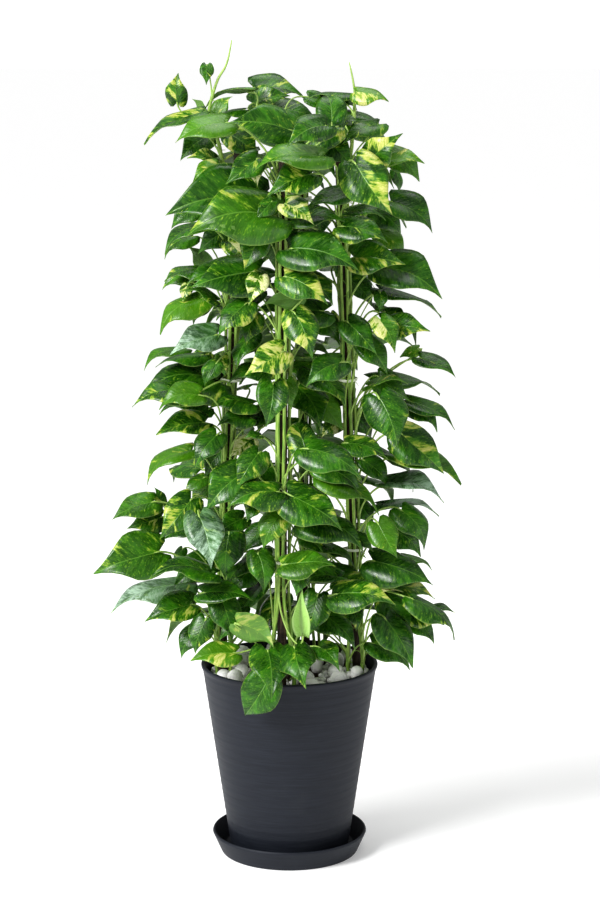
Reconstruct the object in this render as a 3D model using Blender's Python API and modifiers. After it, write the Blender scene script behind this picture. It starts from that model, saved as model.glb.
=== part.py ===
"""Golden pothos trained up four rough poles, in a tapered round pot on its saucer.

Metres, +Z up, the front of the plant towards -Y. The origin is the middle of the saucer's
underside, on the floor. Each vine is grown as one piece: its stem, leaf stalks and leaves.
"""
import math
from random import Random

import bmesh
import bpy
import numpy as np
from mathutils import Vector
from mathutils.bvhtree import BVHTree

FRONT_EYE = Vector((0.0147, -3.2, 1.142))   # where somebody looking at the front stands

POT_FOOT_Z, POT_TOP_Z = 0.0043, 0.270       # the pot stands just clear of the saucer's floor
POT_FOOT_R, POT_TOP_R = 0.0820, 0.1225      # outside
POT_WALL = 0.0042
POT_FLOOR = 0.006
DRAIN_R = 0.006
SAUCER_FOOT_R, SAUCER_RIM_R, SAUCER_TOP_Z = 0.0951, 0.1078, 0.0295
SOIL_Z = 0.2510                             # top of the soil
GAP = 0.0003                                # clearance between neighbouring pieces

POLE_FOOT_Z, POLE_TOP_Z = 0.195, 1.010
POLE_FOOT_RING, POLE_TOP_RING = 0.0945, 0.0660     # how far the pole stands from the pot's axis
POLE_R = 0.0066
POLES = {"left": 184, "front": 264, "right": 356, "back": 76}   # degrees round from +X
TIE_HEIGHTS = (0.43, 0.665, 0.905)
TIE_R, TIE_HIGH, TIE_THICK = 0.0139, 0.004, 0.0008

VINE_R = 0.0025
VINE_RING = 0.0098                          # from the pole's axis to a vine's
VINE_FOOT_RING = 0.0190
VINE_FEET = (50, 112, -112, -50)            # degrees round the pole from the pot's axis
VINE_SIDES = {"left": (50, 150, -115, -69), "front": (60, 157, -157, -60),
              "right": (69, 115, -150, -50), "back": (37, 130, -130, -9)}
VINE_TOPS = {"left": (0.975, 0.995, 0.94, 0.90), "front": (0.99, 0.93, 0.965, 0.90),
             "right": (0.93, 0.975, 0.985, 0.89), "back": (1.00, 0.94, 0.90, 0.97)}
# Two vines run on past their poles: x and z in cm as the viewer sees them, then how far forward.
RUNNERS = {("left", 1): ((-9.6, 99.2, 1), (-10.7, 102.0, 1.5), (-10.2, 104.6, 2),
                         (-9.4, 107.0, 2), (-8.3, 109.0, 2), (-7.6, 112.1, 2)),
           ("right", 2): ((8.6, 100.8, 0), (8.8, 104.6, 0), (8.6, 106.6, 0), (8.0, 109.2, 0))}

STALK_HALF = 0.0015                         # half the width of a leaf stalk
BLADE_THICK = 0.0011
CLEAR = 0.0011                              # kept free round a stalk or a blade
PEBBLES = 20

# Leaves one by one, in centimetres: x and z of the blade's foot, x and z of its tip, both as the
# viewer sees them against the upright plane through the pot's axis; how far in front of that
# plane foot and tip stand; the turn of the upper side (0 up, 90 to the viewer); share of cream,
# or -1 for a leaf with a silver bloom.
LEAVES = {
    "left": (
        (-10.9, 108.8, -11.0, 106.3, 2, 3, 80, .1), (-14.9, 103.9, -14.7, 107.8, 0, 0, 75, .3),
        (-11.2, 102.6, -12.8, 104.4, -7, -8, -50, .2), (-4.9, 105.3, -11.3, 103.8, 0, 0, -5, .3),
        (-11.8, 102.2, -19.4, 98.4, 2, 3, 12, .5), (-9.6, 102.0, -7.6, 104.8, -5, -6, 60, .6),
        (-6.0, 102.9, -9.9, 101.8, -2, -1, 16, .1), (-9.9, 96.4, -13.4, 96.9, 1, 3, 45, .5),
        (-9.5, 95.7, -12.9, 93.6, 4, 6, 55, .4), (-8.6, 94.4, -12.2, 91.4, 0, 0, 22, .1),
        (-4.1, 90.7, -16.6, 89.0, 6, 8, 60, .1), (-11.3, 87.3, -16.8, 83.7, 3, 5, 7, .2),
        (-8.0, 85.3, -5.2, 81.8, 3, 5, 45, .8), (-11.0, 82.0, -13.4, 84.8, -4, -4, -65, .2),
        (-7.4, 82.0, -14.0, 79.9, 3, 5, 45, .1), (-4.3, 81.4, -13.2, 79.4, 7, 10, 56, .2),
        (-11.2, 81.4, -16.9, 80.2, -1, 0, 7, .2), (-13.7, 79.5, -14.4, 77.2, 2, 3, 60, .8),
        (-11.8, 77.6, -17.7, 73.1, 2, 4, 26, .5), (-9.9, 77.4, -13.7, 79.0, 2, 3, 33, .1),
        (-11.2, 76.9, -13.1, 74.0, 3, 4, 26, .2), (-9.8, 72.7, -16.1, 70.6, 6, 9, 55, -1),
        (-14.3, 70.4, -19.9, 68.4, -2, 0, 3, .1), (-11.8, 69.9, -18.2, 68.5, 3, 5, 7, .2),
        (-10.6, 70.2, -13.6, 69.9, 0, 1, 55, .8), (-9.2, 69.8, -8.7, 67.0, 4, 5, 70, .6),
        (-9.9, 68.8, -11.6, 65.8, 5, 6, 60, .0), (-9.8, 66.2, -20.1, 64.9, 2, 5, 41, .1),
        (-13.2, 64.9, -21.4, 63.7, 6, 8, 29, .4), (-12.3, 64.4, -17.8, 62.9, 9, 10, 52, .4),
        (-11.3, 62.8, -17.8, 62.3, 0, 1, 17, .1), (-11.6, 60.6, -18.2, 59.0, 4, 6, 36, .5),
        (-5.1, 63.2, -11.1, 62.6, 5, 6, 22, .2), (-5.3, 61.3, -9.8, 60.6, 1, 2, 43, .1),
        (-9.9, 58.9, -13.0, 54.4, 9, 11, 70, .2), (-13.4, 56.6, -19.6, 52.2, 2, 4, 16, .3),
        (-5.2, 58.4, -8.1, 56.0, 3, 5, 62, .9), (-11.7, 53.0, -14.4, 50.7, 3, 4, 52, .2),
        (-18.7, 49.6, -24.4, 47.1, 5, 7, 54, .4), (-17.3, 49.2, -18.4, 51.7, 3, 3, 60, .3),
        (-17.6, 47.5, -22.3, 46.0, 3, 5, 62, .6), (-13.5, 49.9, -17.9, 44.5, 8, 10, 74, .5),
        (-12.4, 46.4, -18.0, 44.3, 4, 5, 31, .1), (-12.4, 47.6, -10.8, 40.2, 11, 14, 80, -1),
        (-18.0, 42.6, -26.9, 40.0, 6, 9, 66, .4), (-6.3, 47.3, -10.1, 45.0, 8, 10, 62, .2),
        (-8.3, 45.3, -8.9, 38.8, 6, 7, 70, .1), (-14.7, 43.0, -16.0, 41.0, 1, 2, 45, .1),
        (-10.6, 39.4, -19.2, 39.8, 8, 10, 12, -1), (-14.6, 37.9, -24.8, 34.0, -1, 2, 8, -1),
        (-13.6, 35.1, -20.1, 32.9, 4, 6, 62, .3), (-11.9, 36.8, -5.0, 36.1, 8, 10, 41, .1),
        (-11.6, 33.0, -13.1, 28.1, 8, 9, 74, .3), (-9.4, 36.0, -7.7, 30.0, 10, 12, 64, .1),
        (-8.2, 87.0, -12.4, 84.0, -1, 0, 55, .1), (-10.6, 99.6, -14.6, 96.4, -2, 0, 50, .3),
        (-12.0, 90.2, -16.0, 87.4, -2, -1, 50, .3), (-11.4, 41.6, -16.2, 37.6, 0, 2, 60, .1),
        (-13.0, 86.0, -17.0, 83.4, -3, -2, 40, .1), (-12.2, 81.0, -17.2, 79.0, -2, -1, 40, .2),
        (-9.0, 57.2, -11.6, 53.2, 0, 1, 60, .0), (-10.4, 52.6, -13.6, 49.2, -1, 0, 60, .1),
        (-12.6, 31.6, -15.2, 27.6, 3, 4, 60, .2),
    ),
    "front": (
        (.3, 100.2, -8.0, 101.3, 8, 10, 62, .3), (5.7, 101.2, 4.8, 105.1, 8, 4, 60, .3),
        (4.9, 100.8, -.3, 98.0, 8, 11, 60, .4), (-4.3, 96.4, -8.5, 93.1, 9, 11, 62, .3),
        (-4.6, 95.8, -4.2, 92.8, 8, 9, 70, .9), (-8.3, 101.2, -15.2, 98.8, 5, 7, 31, .3),
        (-.4, 90.4, 3.3, 87.8, 10, 12, 74, .7), (-1.9, 88.8, -13.8, 86.8, 9, 12, 60, .3),
        (-2.3, 90.8, -4.5, 88.4, 8, 9, 70, .3), (-4.0, 86.5, -6.1, 81.5, 8, 9, 72, .3),
        (.3, 84.4, 9.4, 81.5, 10, 13, 60, .1), (-4.0, 80.6, -5.5, 76.9, 9, 11, 70, .9),
        (-.4, 80.6, 5.3, 76.8, 11, 13, 66, .5), (1.6, 77.9, -3.6, 77.0, 8, 9, -50, .1),
        (4.6, 75.9, -4.8, 76.6, 6, 8, 29, .0), (-5.8, 77.0, -9.8, 72.8, 9, 11, 58, .3),
        (.8, 75.6, 3.2, 69.4, 12, 14, 84, .6), (-4.6, 75.2, -5.9, 71.4, 7, 8, 60, .3),
        (-.9, 70.4, -6.0, 67.5, 12, 14, 76, .6), (-2.2, 66.0, -3.2, 60.1, 12, 14, 80, .3),
        (-.4, 66.4, .4, 62.6, 10, 11, 66, .2), (2.2, 56.8, .6, 61.0, 12, 8, 62, .4),
        (2.5, 57.0, 10.0, 53.1, 12, 14, 41, .2), (-4.0, 58.8, -6.2, 58.5, 9, 10, 33, .1),
        (-4.2, 56.4, -7.3, 51.5, 10, 12, 66, .4), (-6.1, 53.7, -11.5, 48.4, 11, 13, 66, .3),
        (-1.6, 51.0, -8.6, 48.9, 11, 13, 45, .4), (-4.6, 49.3, -5.9, 46.9, 13, 14, 60, .2),
        (.0, 50.6, 7.5, 46.1, 13, 15, 52, .2), (2.5, 46.9, 10.4, 43.0, 10, 12, 36, .3),
        (4.2, 54.5, 9.9, 50.8, 9, 10, 45, .1), (-4.3, 42.3, -3.5, 36.8, 11, 13, 80, .1),
        (.9, 40.5, -2.1, 39.2, 13, 14, 45, .4), (-.6, 40.8, 6.3, 41.3, 13, 14, 36, .3),
        (1.6, 40.0, .9, 36.3, 14, 15, 74, .2), (7.0, 38.9, 1.1, 37.6, 10, 11, 22, .2),
        (-7.2, 32.4, -1.9, 29.2, 12, 13, -62, .4), (-3.0, 28.5, -2.5, 21.7, 13, 18, 78, .2),
        (-2.9, 24.7, -6.5, 19.0, 14, 13, 84, .1), (.7, 29.0, 2.2, 23.5, 13, 18, 76, .1),
        (4.2, 29.0, 6.9, 26.0, 12, 15, 70, .1), (3.9, 36.4, 2.4, 30.3, 10, 11, 70, .2),
        (-7.6, 28.2, -13.8, 27.2, 11, 12, 41, .55), (-1.2, 47.8, -3.6, 43.0, 9, 10, 66, .3),
        (-5.6, 33.6, -9.9, 30.2, 8, 9, 52, .1), (-4.8, 103.8, .0, 105.0, -1, 0, 60, .7),
        (-7.8, 99.6, -4.2, 96.2, 3, 4, 70, .5), (6.2, 100.6, .8, 96.6, 5, 6, 60, .4),
        (5.0, 98.8, 8.6, 95.4, 7, 8, 70, .1), (-4.6, 40.8, -8.2, 36.4, 1, 2, 60, .0),
        (-3.2, 45.8, -6.8, 42.0, 2, 3, 60, .1), (4.4, 64.0, 7.4, 59.6, 0, 1, 60, .3),
        (3.6, 75.0, 7.0, 71.6, 0, 1, 60, .1), (2.6, 104.6, 6.0, 103.0, -4, -4, 50, .1),
    ),
    "right": (
        (4.3, 96.6, -4.9, 94.9, 10, 12, 26, .3), (3.0, 94.4, -2.9, 91.8, 11, 13, 62, .5),
        (8.3, 104.9, 2.0, 104.3, -2, 0, 0, .1), (9.0, 105.3, 13.3, 104.2, 0, 1, 45, .6),
        (6.0, 101.1, 9.3, 101.6, 6, 8, 45, .3), (10.6, 96.2, 14.8, 99.8, 7, 9, 76, .5),
        (7.4, 102.6, 12.9, 100.2, -1, 0, 7, .1), (11.9, 101.0, 7.2, 98.8, 3, 6, 29, .5),
        (6.4, 104.2, 9.3, 102.9, -5, -4, 19, .0), (8.9, 95.8, 13.9, 89.0, 10, 12, 80, .5),
        (13.0, 95.9, 18.1, 96.0, 1, 3, 29, .4), (13.7, 90.7, 19.5, 86.9, 1, 2, 45, .2),
        (14.2, 94.8, 14.6, 91.8, -4, -4, 38, .0), (7.2, 87.4, 13.3, 85.7, 9, 11, 52, .4),
        (8.8, 83.2, 15.6, 82.5, 6, 8, 62, .5), (12.6, 81.8, 20.7, 77.6, 3, 6, 62, .1),
        (12.5, 78.7, 20.8, 75.7, 1, 3, 3, .3), (12.3, 78.4, 12.2, 75.9, 3, 4, 60, .0),
        (13.0, 75.8, 16.2, 74.5, 2, 4, 41, .1), (13.6, 74.0, 19.1, 73.3, 6, 8, 60, .4),
        (12.3, 74.7, 14.4, 70.3, 9, 11, 70, .7), (17.8, 69.5, 22.7, 67.1, 3, 5, 24, .3),
        (17.5, 70.8, 15.0, 69.7, 0, 0, 45, .6), (8.0, 74.4, 11.9, 70.2, 6, 8, 60, .1),
        (7.0, 68.9, 2.3, 65.8, 10, 12, 60, .1), (7.6, 65.6, 2.6, 61.9, -1, 1, 58, .6),
        (12.2, 64.1, 14.8, 57.1, 10, 12, 84, .2), (10.9, 65.7, 16.0, 66.6, 4, 6, 19, .3),
        (16.3, 63.6, 22.9, 60.4, -1, 1, 14, .1), (15.2, 59.2, 21.4, 53.9, 5, 7, 60, .3),
        (14.3, 55.8, 23.6, 52.1, 3, 5, 9, .1), (8.0, 57.8, 13.5, 55.7, 8, 9, 36, .3),
        (6.9, 60.6, 4.3, 58.6, 0, 1, 60, .8), (13.2, 52.0, 21.3, 50.1, 2, 4, 11, -1),
        (5.0, 52.9, 12.4, 47.9, 10, 12, 19, .2), (12.6, 49.0, 20.6, 48.1, -3, -1, 2, -1),
        (12.2, 46.6, 14.9, 41.7, 11, 13, 80, .3), (15.4, 48.4, 18.9, 43.1, 6, 8, 50, .1),
        (11.6, 41.3, 19.9, 38.0, 7, 9, 56, .0), (15.8, 42.0, 19.8, 40.4, -4, -3, 6, .1),
        (7.3, 37.8, 15.7, 37.4, 8, 10, 41, .7), (6.5, 36.6, 14.6, 35.9, 12, 14, 36, .4),
        (13.5, 37.8, 20.1, 36.8, 4, 6, 29, .4), (13.3, 35.8, 16.9, 30.7, 7, 9, 66, .1),
        (13.2, 33.2, 17.3, 26.2, 11, 13, 40, .1), (16.8, 33.7, 21.5, 32.3, 4, 5, 60, .6),
        (17.0, 35.9, 23.4, 30.7, 8, 9, 10, .2), (19.3, 34.2, 22.9, 34.1, 0, 1, 14, .3),
        (11.5, 29.6, 17.0, 26.1, 5, 6, 31, .2), (7.5, 91.9, 2.2, 90.2, 4, 6, 45, .0),
        (8.0, 89.3, 13.0, 88.9, 6, 7, 17, .1), (.7, 88.6, 7.6, 88.2, 5, 7, 31, .1),
        (9.0, 44.8, 11.6, 42.6, 5, 6, 45, .2), (8.6, 35.0, 9.4, 31.4, 4, 5, 66, .3),
        (10.0, 71.8, 13.4, 67.4, 2, 3, 60, .1), (14.0, 45.8, 18.2, 42.0, 2, 3, 60, .1),
        (8.4, 80.0, 11.2, 76.6, 0, 0, 60, .3), (12.2, 67.0, 16.4, 63.8, 1, 2, 55, .1),
        (13.8, 97.2, 17.6, 93.6, 0, 1, 50, .2), (11.6, 89.4, 15.4, 86.4, 0, 0, 50, .1),
        (16.0, 62.8, 20.4, 59.6, -1, 0, 40, .2), (10.2, 55.4, 13.6, 51.8, 1, 1, 60, .1),
        (16.6, 33.2, 20.4, 29.8, 3, 4, 50, .1), (8.4, 61.8, 11.4, 58.4, 0, 0, 60, .0),
        (12.2, 86.6, 15.6, 83.2, -2, -1, 50, .3), (9.0, 49.6, 11.6, 46.2, 0, 1, 60, .1),
    ),
    "back": (
        (-4.6, 105.8, 2.2, 104.5, -7, -8, 42, .2), (-2.0, 103.4, 4.2, 101.6, -5, -6, 50, .1),
        (2.2, 66.2, 5.2, 62.3, -6, -5, 60, .1), (-5.4, 73.6, -8.2, 70.6, -6, -6, 45, .1),
        (6.6, 85.0, 2.0, 83.2, -5, -4, 33, .0), (-.8, 60.6, 3.6, 59.2, -5, -4, 33, .0),
        (5.6, 75.6, 6.4, 73.2, -4, -4, 60, .5), (-8.2, 91.8, -12.4, 91.2, -5, -6, 17, .1),
    ),
}

# Rolled new leaves on a looping stalk, as above with the width's share last.
ROLLED = ((1.9, 30.7, 1.8, 37.2, 14, 14, 70, .2, 0.40),)
CROWN_REACH = 0.175                         # how far the filling leaves reach from the middle
BACK_ROWS, BACK_EACH = 12, 4
INNER_ROWS, INNER_EACH = 14, 7

def along_sight(x_cm, z_cm, forward_cm):
    """A point seen at (x, z) against the plane through the pot's axis, moved to the viewer."""
    seen = Vector((x_cm * 0.01, 0.0, z_cm * 0.01))
    return seen + (FRONT_EYE - seen) * (forward_cm * 0.01 / -FRONT_EYE.y)


def on_pole(side, z):
    """The pole's axis at height z."""
    t = (z - 0.25) / (POLE_TOP_Z - 0.25)
    ring = POLE_FOOT_RING + (POLE_TOP_RING - POLE_FOOT_RING) * t
    turn = math.radians(POLES[side])
    return Vector((ring * math.cos(turn), ring * math.sin(turn), z))


def vine_line(side, number):
    """The middle line of one vine, from its foot in the soil to its growing tip."""
    inward = POLES[side] + 180
    foot_turn = math.radians(inward + VINE_FEET[number])
    foot = on_pole(side, 0.25) + VINE_FOOT_RING * Vector((math.cos(foot_turn),
                                                          math.sin(foot_turn), 0))
    line = [Vector((foot.x, foot.y, z)) for z in (0.236, 0.262, 0.285)]
    top = VINE_TOPS[side][number]
    for z in np.linspace(0.385, top, 8):
        drift = 7 * math.sin(9 * z)
        turn = math.radians(inward + VINE_SIDES[side][number] + drift)
        line.append(on_pole(side, float(z)) + VINE_RING * Vector((math.cos(turn),
                                                                 math.sin(turn), 0)))
    if (side, number) in RUNNERS:
        line[-1:] = [along_sight(*row) for row in RUNNERS[side, number]]
    return line


def at_height(line, z):
    """The point of a vine's middle line at height z."""
    for low, high in zip(line, line[1:]):
        if z <= high.z:
            return low.lerp(high, max(0.0, (z - low.z) / (high.z - low.z)))
    return line[-1].copy()


def bezier(a, b, c, d, count):
    return [a * (1 - t) ** 3 + b * 3 * t * (1 - t) ** 2 + c * 3 * t * t * (1 - t) + d * t ** 3
            for t in (i / count for i in range(count + 1))]


def frame_of(foot, tip, turn, look):
    """Along, across and upper-side directions of a blade; look is where a turn of 90 faces."""
    along = (tip - foot).normalized()
    up = Vector((0, 0, 1)) - along * along.z
    up = up.normalized() if up.length > 0.05 else look.copy()
    face = look - along * look.dot(along)
    face = face.normalized() if face.length > 0.05 else up.copy()
    turn = math.radians(turn)
    normal = up * math.cos(turn) + face * math.sin(turn)
    normal = (normal - along * normal.dot(along)).normalized()
    return along, along.cross(normal).normalized(), normal


# One half of a blade's edge as (share along, share across) of its length.
EDGE = ((-0.03, 0.355), (0.51, 0.32))


def leaf_sheet(stalk, axes, length, wide=1.0):
    """Corners and faces of a leaf as one sheet: the stalk's strap, then the folded blade."""
    along, across, normal = axes
    foot = stalk[-1]
    first = (stalk[-1] - stalk[0]).cross(Vector((0, 0, 1)))
    first = first.normalized() if first.length > 0.005 else across.copy()
    if first.dot(across) < 0:
        first = -first
    points, faces = [], []
    for i, p in enumerate(stalk):
        share = i / (len(stalk) - 1)
        way = (stalk[min(i + 1, len(stalk) - 1)] - stalk[max(i - 1, 0)]).normalized()
        side = first.lerp(across, share)
        side = (side - way * side.dot(way)).normalized() if i < len(stalk) - 1 else across
        points += [p + side * STALK_HALF, p - side * STALK_HALF]
        if i:
            faces.append((2 * i - 2, 2 * i - 1, 2 * i + 1, 2 * i))
    left, right = len(points) - 2, len(points) - 1
    n = len(points)
    for sign in (1, -1):
        for u, v in EDGE:
            lift = 0.24 * u * (1 - u) + 0.20 * v * wide
            points.append(foot + length * (along * u + across * (sign * v * wide)
                                           + normal * lift))
    points.append(foot + along * length)
    tip = n + 4
    faces += [(left, right, tip), (n, left, n + 1), (n + 1, left, tip),
              (right, n + 2, n + 3), (right, n + 3, tip)]
    return points, faces


def slab(points, faces, normal, half):
    """A leaf sheet given thickness along one direction, as a bare solid for clearance tests."""
    n = len(points)
    both = [p + normal * half for p in points] + [p - normal * half for p in points]
    walls = {}
    for face in faces:
        for a, b in zip(face, face[1:] + face[:1]):
            if (b, a) in walls:
                del walls[b, a]
            else:
                walls[a, b] = True
    shell = [tuple(f) for f in faces] + [tuple(n + i for i in f) for f in faces]
    return both, shell + [(a, b, n + b, n + a) for a, b in walls]


def rod(points, radius):
    """A five-sided tube round a line, as a bare solid for clearance tests."""
    both, faces = [], []
    for i, p in enumerate(points):
        way = (points[min(i + 1, len(points) - 1)] - points[max(i - 1, 0)]).normalized()
        side = way.orthogonal().normalized()
        other = way.cross(side)
        both += [p + (side * math.cos(a) + other * math.sin(a)) * radius
                 for a in (k * 2 * math.pi / 5 for k in range(5))]
        if i:
            o = 5 * i
            for k in range(5):
                m = (k + 1) % 5
                faces += [(o - 5 + k, o - 5 + m, o + m), (o - 5 + k, o + m, o + k)]
    return both, faces


class Space:
    """Solids already standing, tested box against box first."""

    def __init__(self):
        self.solids = []

    @staticmethod
    def solid(points, faces, owner=None):
        array = np.array([tuple(p) for p in points])
        return (array.min(axis=0), array.max(axis=0),
                BVHTree.FromPolygons([tuple(p) for p in points], faces), owner)

    def add(self, *solids):
        self.solids += solids

    def free(self, new, but=None):
        for low, high, tree, owner in self.solids:
            if owner is not None and owner == but:
                continue
            if (new[0] < high).all() and (new[1] > low).all() and new[2].overlap(tree):
                return False
        return True


def stalk_line(node, foot, axes, droop, count=3):
    """A leaf stalk: out and up from the vine, bending over into the blade's foot."""
    along, _, normal = axes
    reach = (foot - node).length
    if droop:
        first = node + Vector((0, -0.006, -0.055))
        last = foot + Vector((0, 0, -0.035))
    else:
        level = Vector((foot.x - node.x, foot.y - node.y, 0))
        first = node + level * 0.22 + Vector((0, 0, reach * 0.42))
        last = foot - along * reach * 0.24 - normal * reach * 0.10
    return bezier(node, first, last, foot, 2 if reach < 0.035 else count)


def try_leaf(space, lines, side, foot, tip, turn, look, droop=False, wide=1.0):
    """The leaf on the first vine and stalk height that leave it clear, or None."""
    axes = frame_of(foot, tip, turn, look)
    length = (tip - foot).length
    bare = leaf_sheet([foot - axes[0] * 0.002, foot], axes, length, wide)
    blade = Space.solid(*slab(*bare, axes[2], CLEAR + BLADE_THICK / 2))
    if not space.free(blade):
        return None
    away = foot - on_pole(side, min(foot.z, POLE_TOP_Z))
    level = Vector((away.x, away.y, 0))
    vines = sorted(range(4), key=lambda n: -level.dot(
        at_height(lines[side, n], foot.z) - on_pole(side, min(foot.z, POLE_TOP_Z))))
    for n in vines[:3]:
        line = lines[side, n]
        for rise in ((-0.5,) if droop else (0.8, 0.5, 1.1, 0.25, 0.0)):
            z = min(foot.z - rise * level.length - 0.006, line[-1].z - 0.004)
            if droop:
                z = foot.z + 0.055
            node = at_height(line, max(z, 0.272))
            stalk = stalk_line(node, foot, axes, droop)
            clear = Space.solid(*rod(stalk, STALK_HALF + CLEAR))
            if space.free(clear, (side, n)):
                return dict(side=side, vine=n, foot=foot, axes=axes, length=length, wide=wide,
                            stalk=stalk, node=node, droop=droop, solids=(blade, clear))
    return None


# Ways to find a leaf its room: width, turn round its rib, and how far it moves (cm).
ROOMS = sorted(((wide, turn, slide) for wide in (1.0, 0.86, 0.72) for turn in (0, 13, -13, 26)
                for slide in (0, 1, -1, 2, -2, 3, -3, 4, -4, 5.5, -5.5, 7)),
               key=lambda r: (1 - r[0]) * 16 + abs(r[1]) * 0.10 + abs(r[2]))


def lay_out(space, lines):
    """Every leaf of the plant: the listed ones, then the inside and the back filled by rule."""
    leaves = []

    def keep(leaf, cream):
        leaf["cream"] = cream
        leaves.append(leaf)
        space.add(*leaf["solids"])

    for side, rows in LEAVES.items():
        for xb, zb, xt, zt, fb, ft, turn, cream in rows:
            for wide, more, slide in ROOMS:
                foot, tip = along_sight(xb, zb, fb + slide), along_sight(xt, zt, ft + slide)
                leaf = try_leaf(space, lines, side, foot, tip, turn + more,
                                (FRONT_EYE - foot).normalized(), wide=wide)
                if leaf:
                    keep(leaf, cream)
                    break
    for xb, zb, xt, zt, fb, ft, turn, cream, wide in ROLLED:
        foot, tip = along_sight(xb, zb, fb), along_sight(xt, zt, ft)
        leaf = try_leaf(space, lines, "front", foot, tip, turn,
                        (FRONT_EYE - foot).normalized(), True, wide)
        if leaf:
            keep(leaf, cream)

    rng = Random(41)
    spots = [(float(z), 6 + 164 * (k + 0.5 + rng.uniform(-0.4, 0.4)) / BACK_EACH,
              rng.uniform(0.70, 1.0), rng.uniform(0.070, 0.100))
             for z in np.linspace(0.33, 1.02, BACK_ROWS) for k in range(BACK_EACH)]
    spots += [(float(z) + rng.uniform(-0.015, 0.015), 360 * (k + rng.random()) / INNER_EACH,
               rng.uniform(0.36, 0.68), rng.uniform(0.055, 0.080))
              for z in np.linspace(0.335, 1.0, INNER_ROWS) for k in range(INNER_EACH)]
    for number, (z, degrees, share, length) in enumerate(spots):
        rng = Random(number)
        out = Vector((math.cos(math.radians(degrees)), math.sin(math.radians(degrees)), 0))
        side = max(POLES, key=lambda s: out.dot(on_pole(s, 0.6)))
        reach = CROWN_REACH * min(1.0, 1.35 - 0.5 * z) * share
        for wide, more, slide in ROOMS[:40]:
            foot = out * (reach - 0.045 + 0.008 * slide) \
                + Vector((0, 0, z + rng.uniform(-0.02, 0.02)))
            tip = foot + (out + Vector((rng.uniform(-0.6, 0.6), rng.uniform(-0.4, 0.4),
                                        rng.uniform(-0.9, -0.2)))).normalized() * length
            leaf = try_leaf(space, lines, side, foot, tip, 35 + more, out, wide=wide)
            if leaf:
                keep(leaf, (0.05, 0.1, 0.2, 0.35)[number % 4])
                break
    return leaves


PLANT = bpy.data.collections.new("potted_pothos")
CUTTERS = bpy.data.collections.new("cutters")


def plain(name, colour, rough):
    mat = bpy.data.materials.new(name)
    mat.use_nodes = True
    shader = mat.node_tree.nodes["Principled BSDF"]
    shader.inputs["Base Color"].default_value = (*colour, 1)
    shader.inputs["Roughness"].default_value = rough
    return mat


def piece(name, mesh, mat, helper=False):
    obj = bpy.data.objects.new(name, mesh)
    if mat is not None:
        mesh.materials.append(mat)
    if helper:
        obj.hide_render = True
        obj.display_type = "WIRE"
        CUTTERS.objects.link(obj)
    else:
        PLANT.objects.link(obj)
    return obj


def from_bmesh(name, bm, mat, helper=False, smooth=True):
    bmesh.ops.recalc_face_normals(bm, faces=bm.faces)
    mesh = bpy.data.meshes.new(name)
    bm.to_mesh(mesh)
    bm.free()
    for face in mesh.polygons:
        face.use_smooth = smooth
    return piece(name, mesh, mat, helper)


def turned(name, profile, steps, mat):
    """A body of revolution; the profile runs down the outside."""
    mesh = bpy.data.meshes.new(name)
    mesh.from_pydata([(r, 0, z) for r, z in profile],
                     [(i, i + 1) for i in range(len(profile) - 1)], [])
    obj = piece(name, mesh, mat)
    screw = obj.modifiers.new("Turn", "SCREW")
    screw.axis, screw.angle = "Z", 2 * math.pi
    screw.steps = screw.render_steps = steps
    screw.use_merge_vertices, screw.merge_threshold = True, 0.0001
    screw.use_smooth_shade = True
    return obj


def cut(obj, cutter, operation="DIFFERENCE"):
    hole = obj.modifiers.new(cutter.name, "BOOLEAN")
    hole.operation, hole.solver, hole.object = operation, "EXACT", cutter


def peg(bm, low, high, r_low, r_high, sides):
    """A straight round bar between two points."""
    way = high - low
    made = bmesh.ops.create_cone(bm, cap_ends=True, segments=sides, radius1=r_low,
                                 radius2=r_high, depth=way.length)
    bmesh.ops.rotate(bm, verts=made["verts"],
                     matrix=Vector((0, 0, 1)).rotation_difference(way).to_matrix())
    bmesh.ops.translate(bm, verts=made["verts"], vec=(low + high) / 2)


def tubes(name, lines, outline, tapers=None):
    """Tubes along lines, one mesh, with the cross-section of the outline curve."""
    curve = bpy.data.curves.new(name, "CURVE")
    curve.dimensions = "3D"
    curve.bevel_mode, curve.bevel_object = "OBJECT", outline
    curve.use_fill_caps = True
    for line in lines:
        spline = curve.splines.new("POLY")
        spline.points.add(len(line) - 1)
        for i, point in enumerate(line):
            spline.points[i].co = (*point, 1)
            spline.points[i].radius = tapers[i] if tapers else 1.0
    holder = bpy.data.objects.new(name + "_line", curve)
    bpy.context.scene.collection.objects.link(holder)
    bpy.context.view_layer.update()
    ready = holder.evaluated_get(bpy.context.evaluated_depsgraph_get())
    mesh = bpy.data.meshes.new_from_object(ready)
    bpy.data.objects.remove(holder)
    bm = bmesh.new()
    bm.from_mesh(mesh)
    bmesh.ops.remove_doubles(bm, verts=bm.verts, dist=1e-6)
    return bm


def outline(name, radius, sides):
    """A regular outline for tubes."""
    curve = bpy.data.curves.new(name, "CURVE")
    curve.dimensions = "2D"
    curve.fill_mode = "NONE"
    spline = curve.splines.new("POLY")
    spline.points.add(sides - 1)
    for k in range(sides):
        turn = 2 * math.pi * k / sides
        spline.points[k].co = (radius * math.cos(turn), radius * math.sin(turn), 0, 1)
    spline.use_cyclic_u = True
    obj = bpy.data.objects.new(name, curve)
    obj.hide_render = True
    obj.display_type = "WIRE"
    CUTTERS.objects.link(obj)
    return obj


def solids_of(obj):
    """The finished surface of a piece, for clearance tests."""
    bpy.context.view_layer.update()
    mesh = bpy.data.meshes.new_from_object(
        obj.evaluated_get(bpy.context.evaluated_depsgraph_get()))
    points = [v.co.copy() for v in mesh.vertices]
    faces = [tuple(p.vertices) for p in mesh.polygons]
    bpy.data.meshes.remove(mesh)
    return Space.solid(points, faces)


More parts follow.
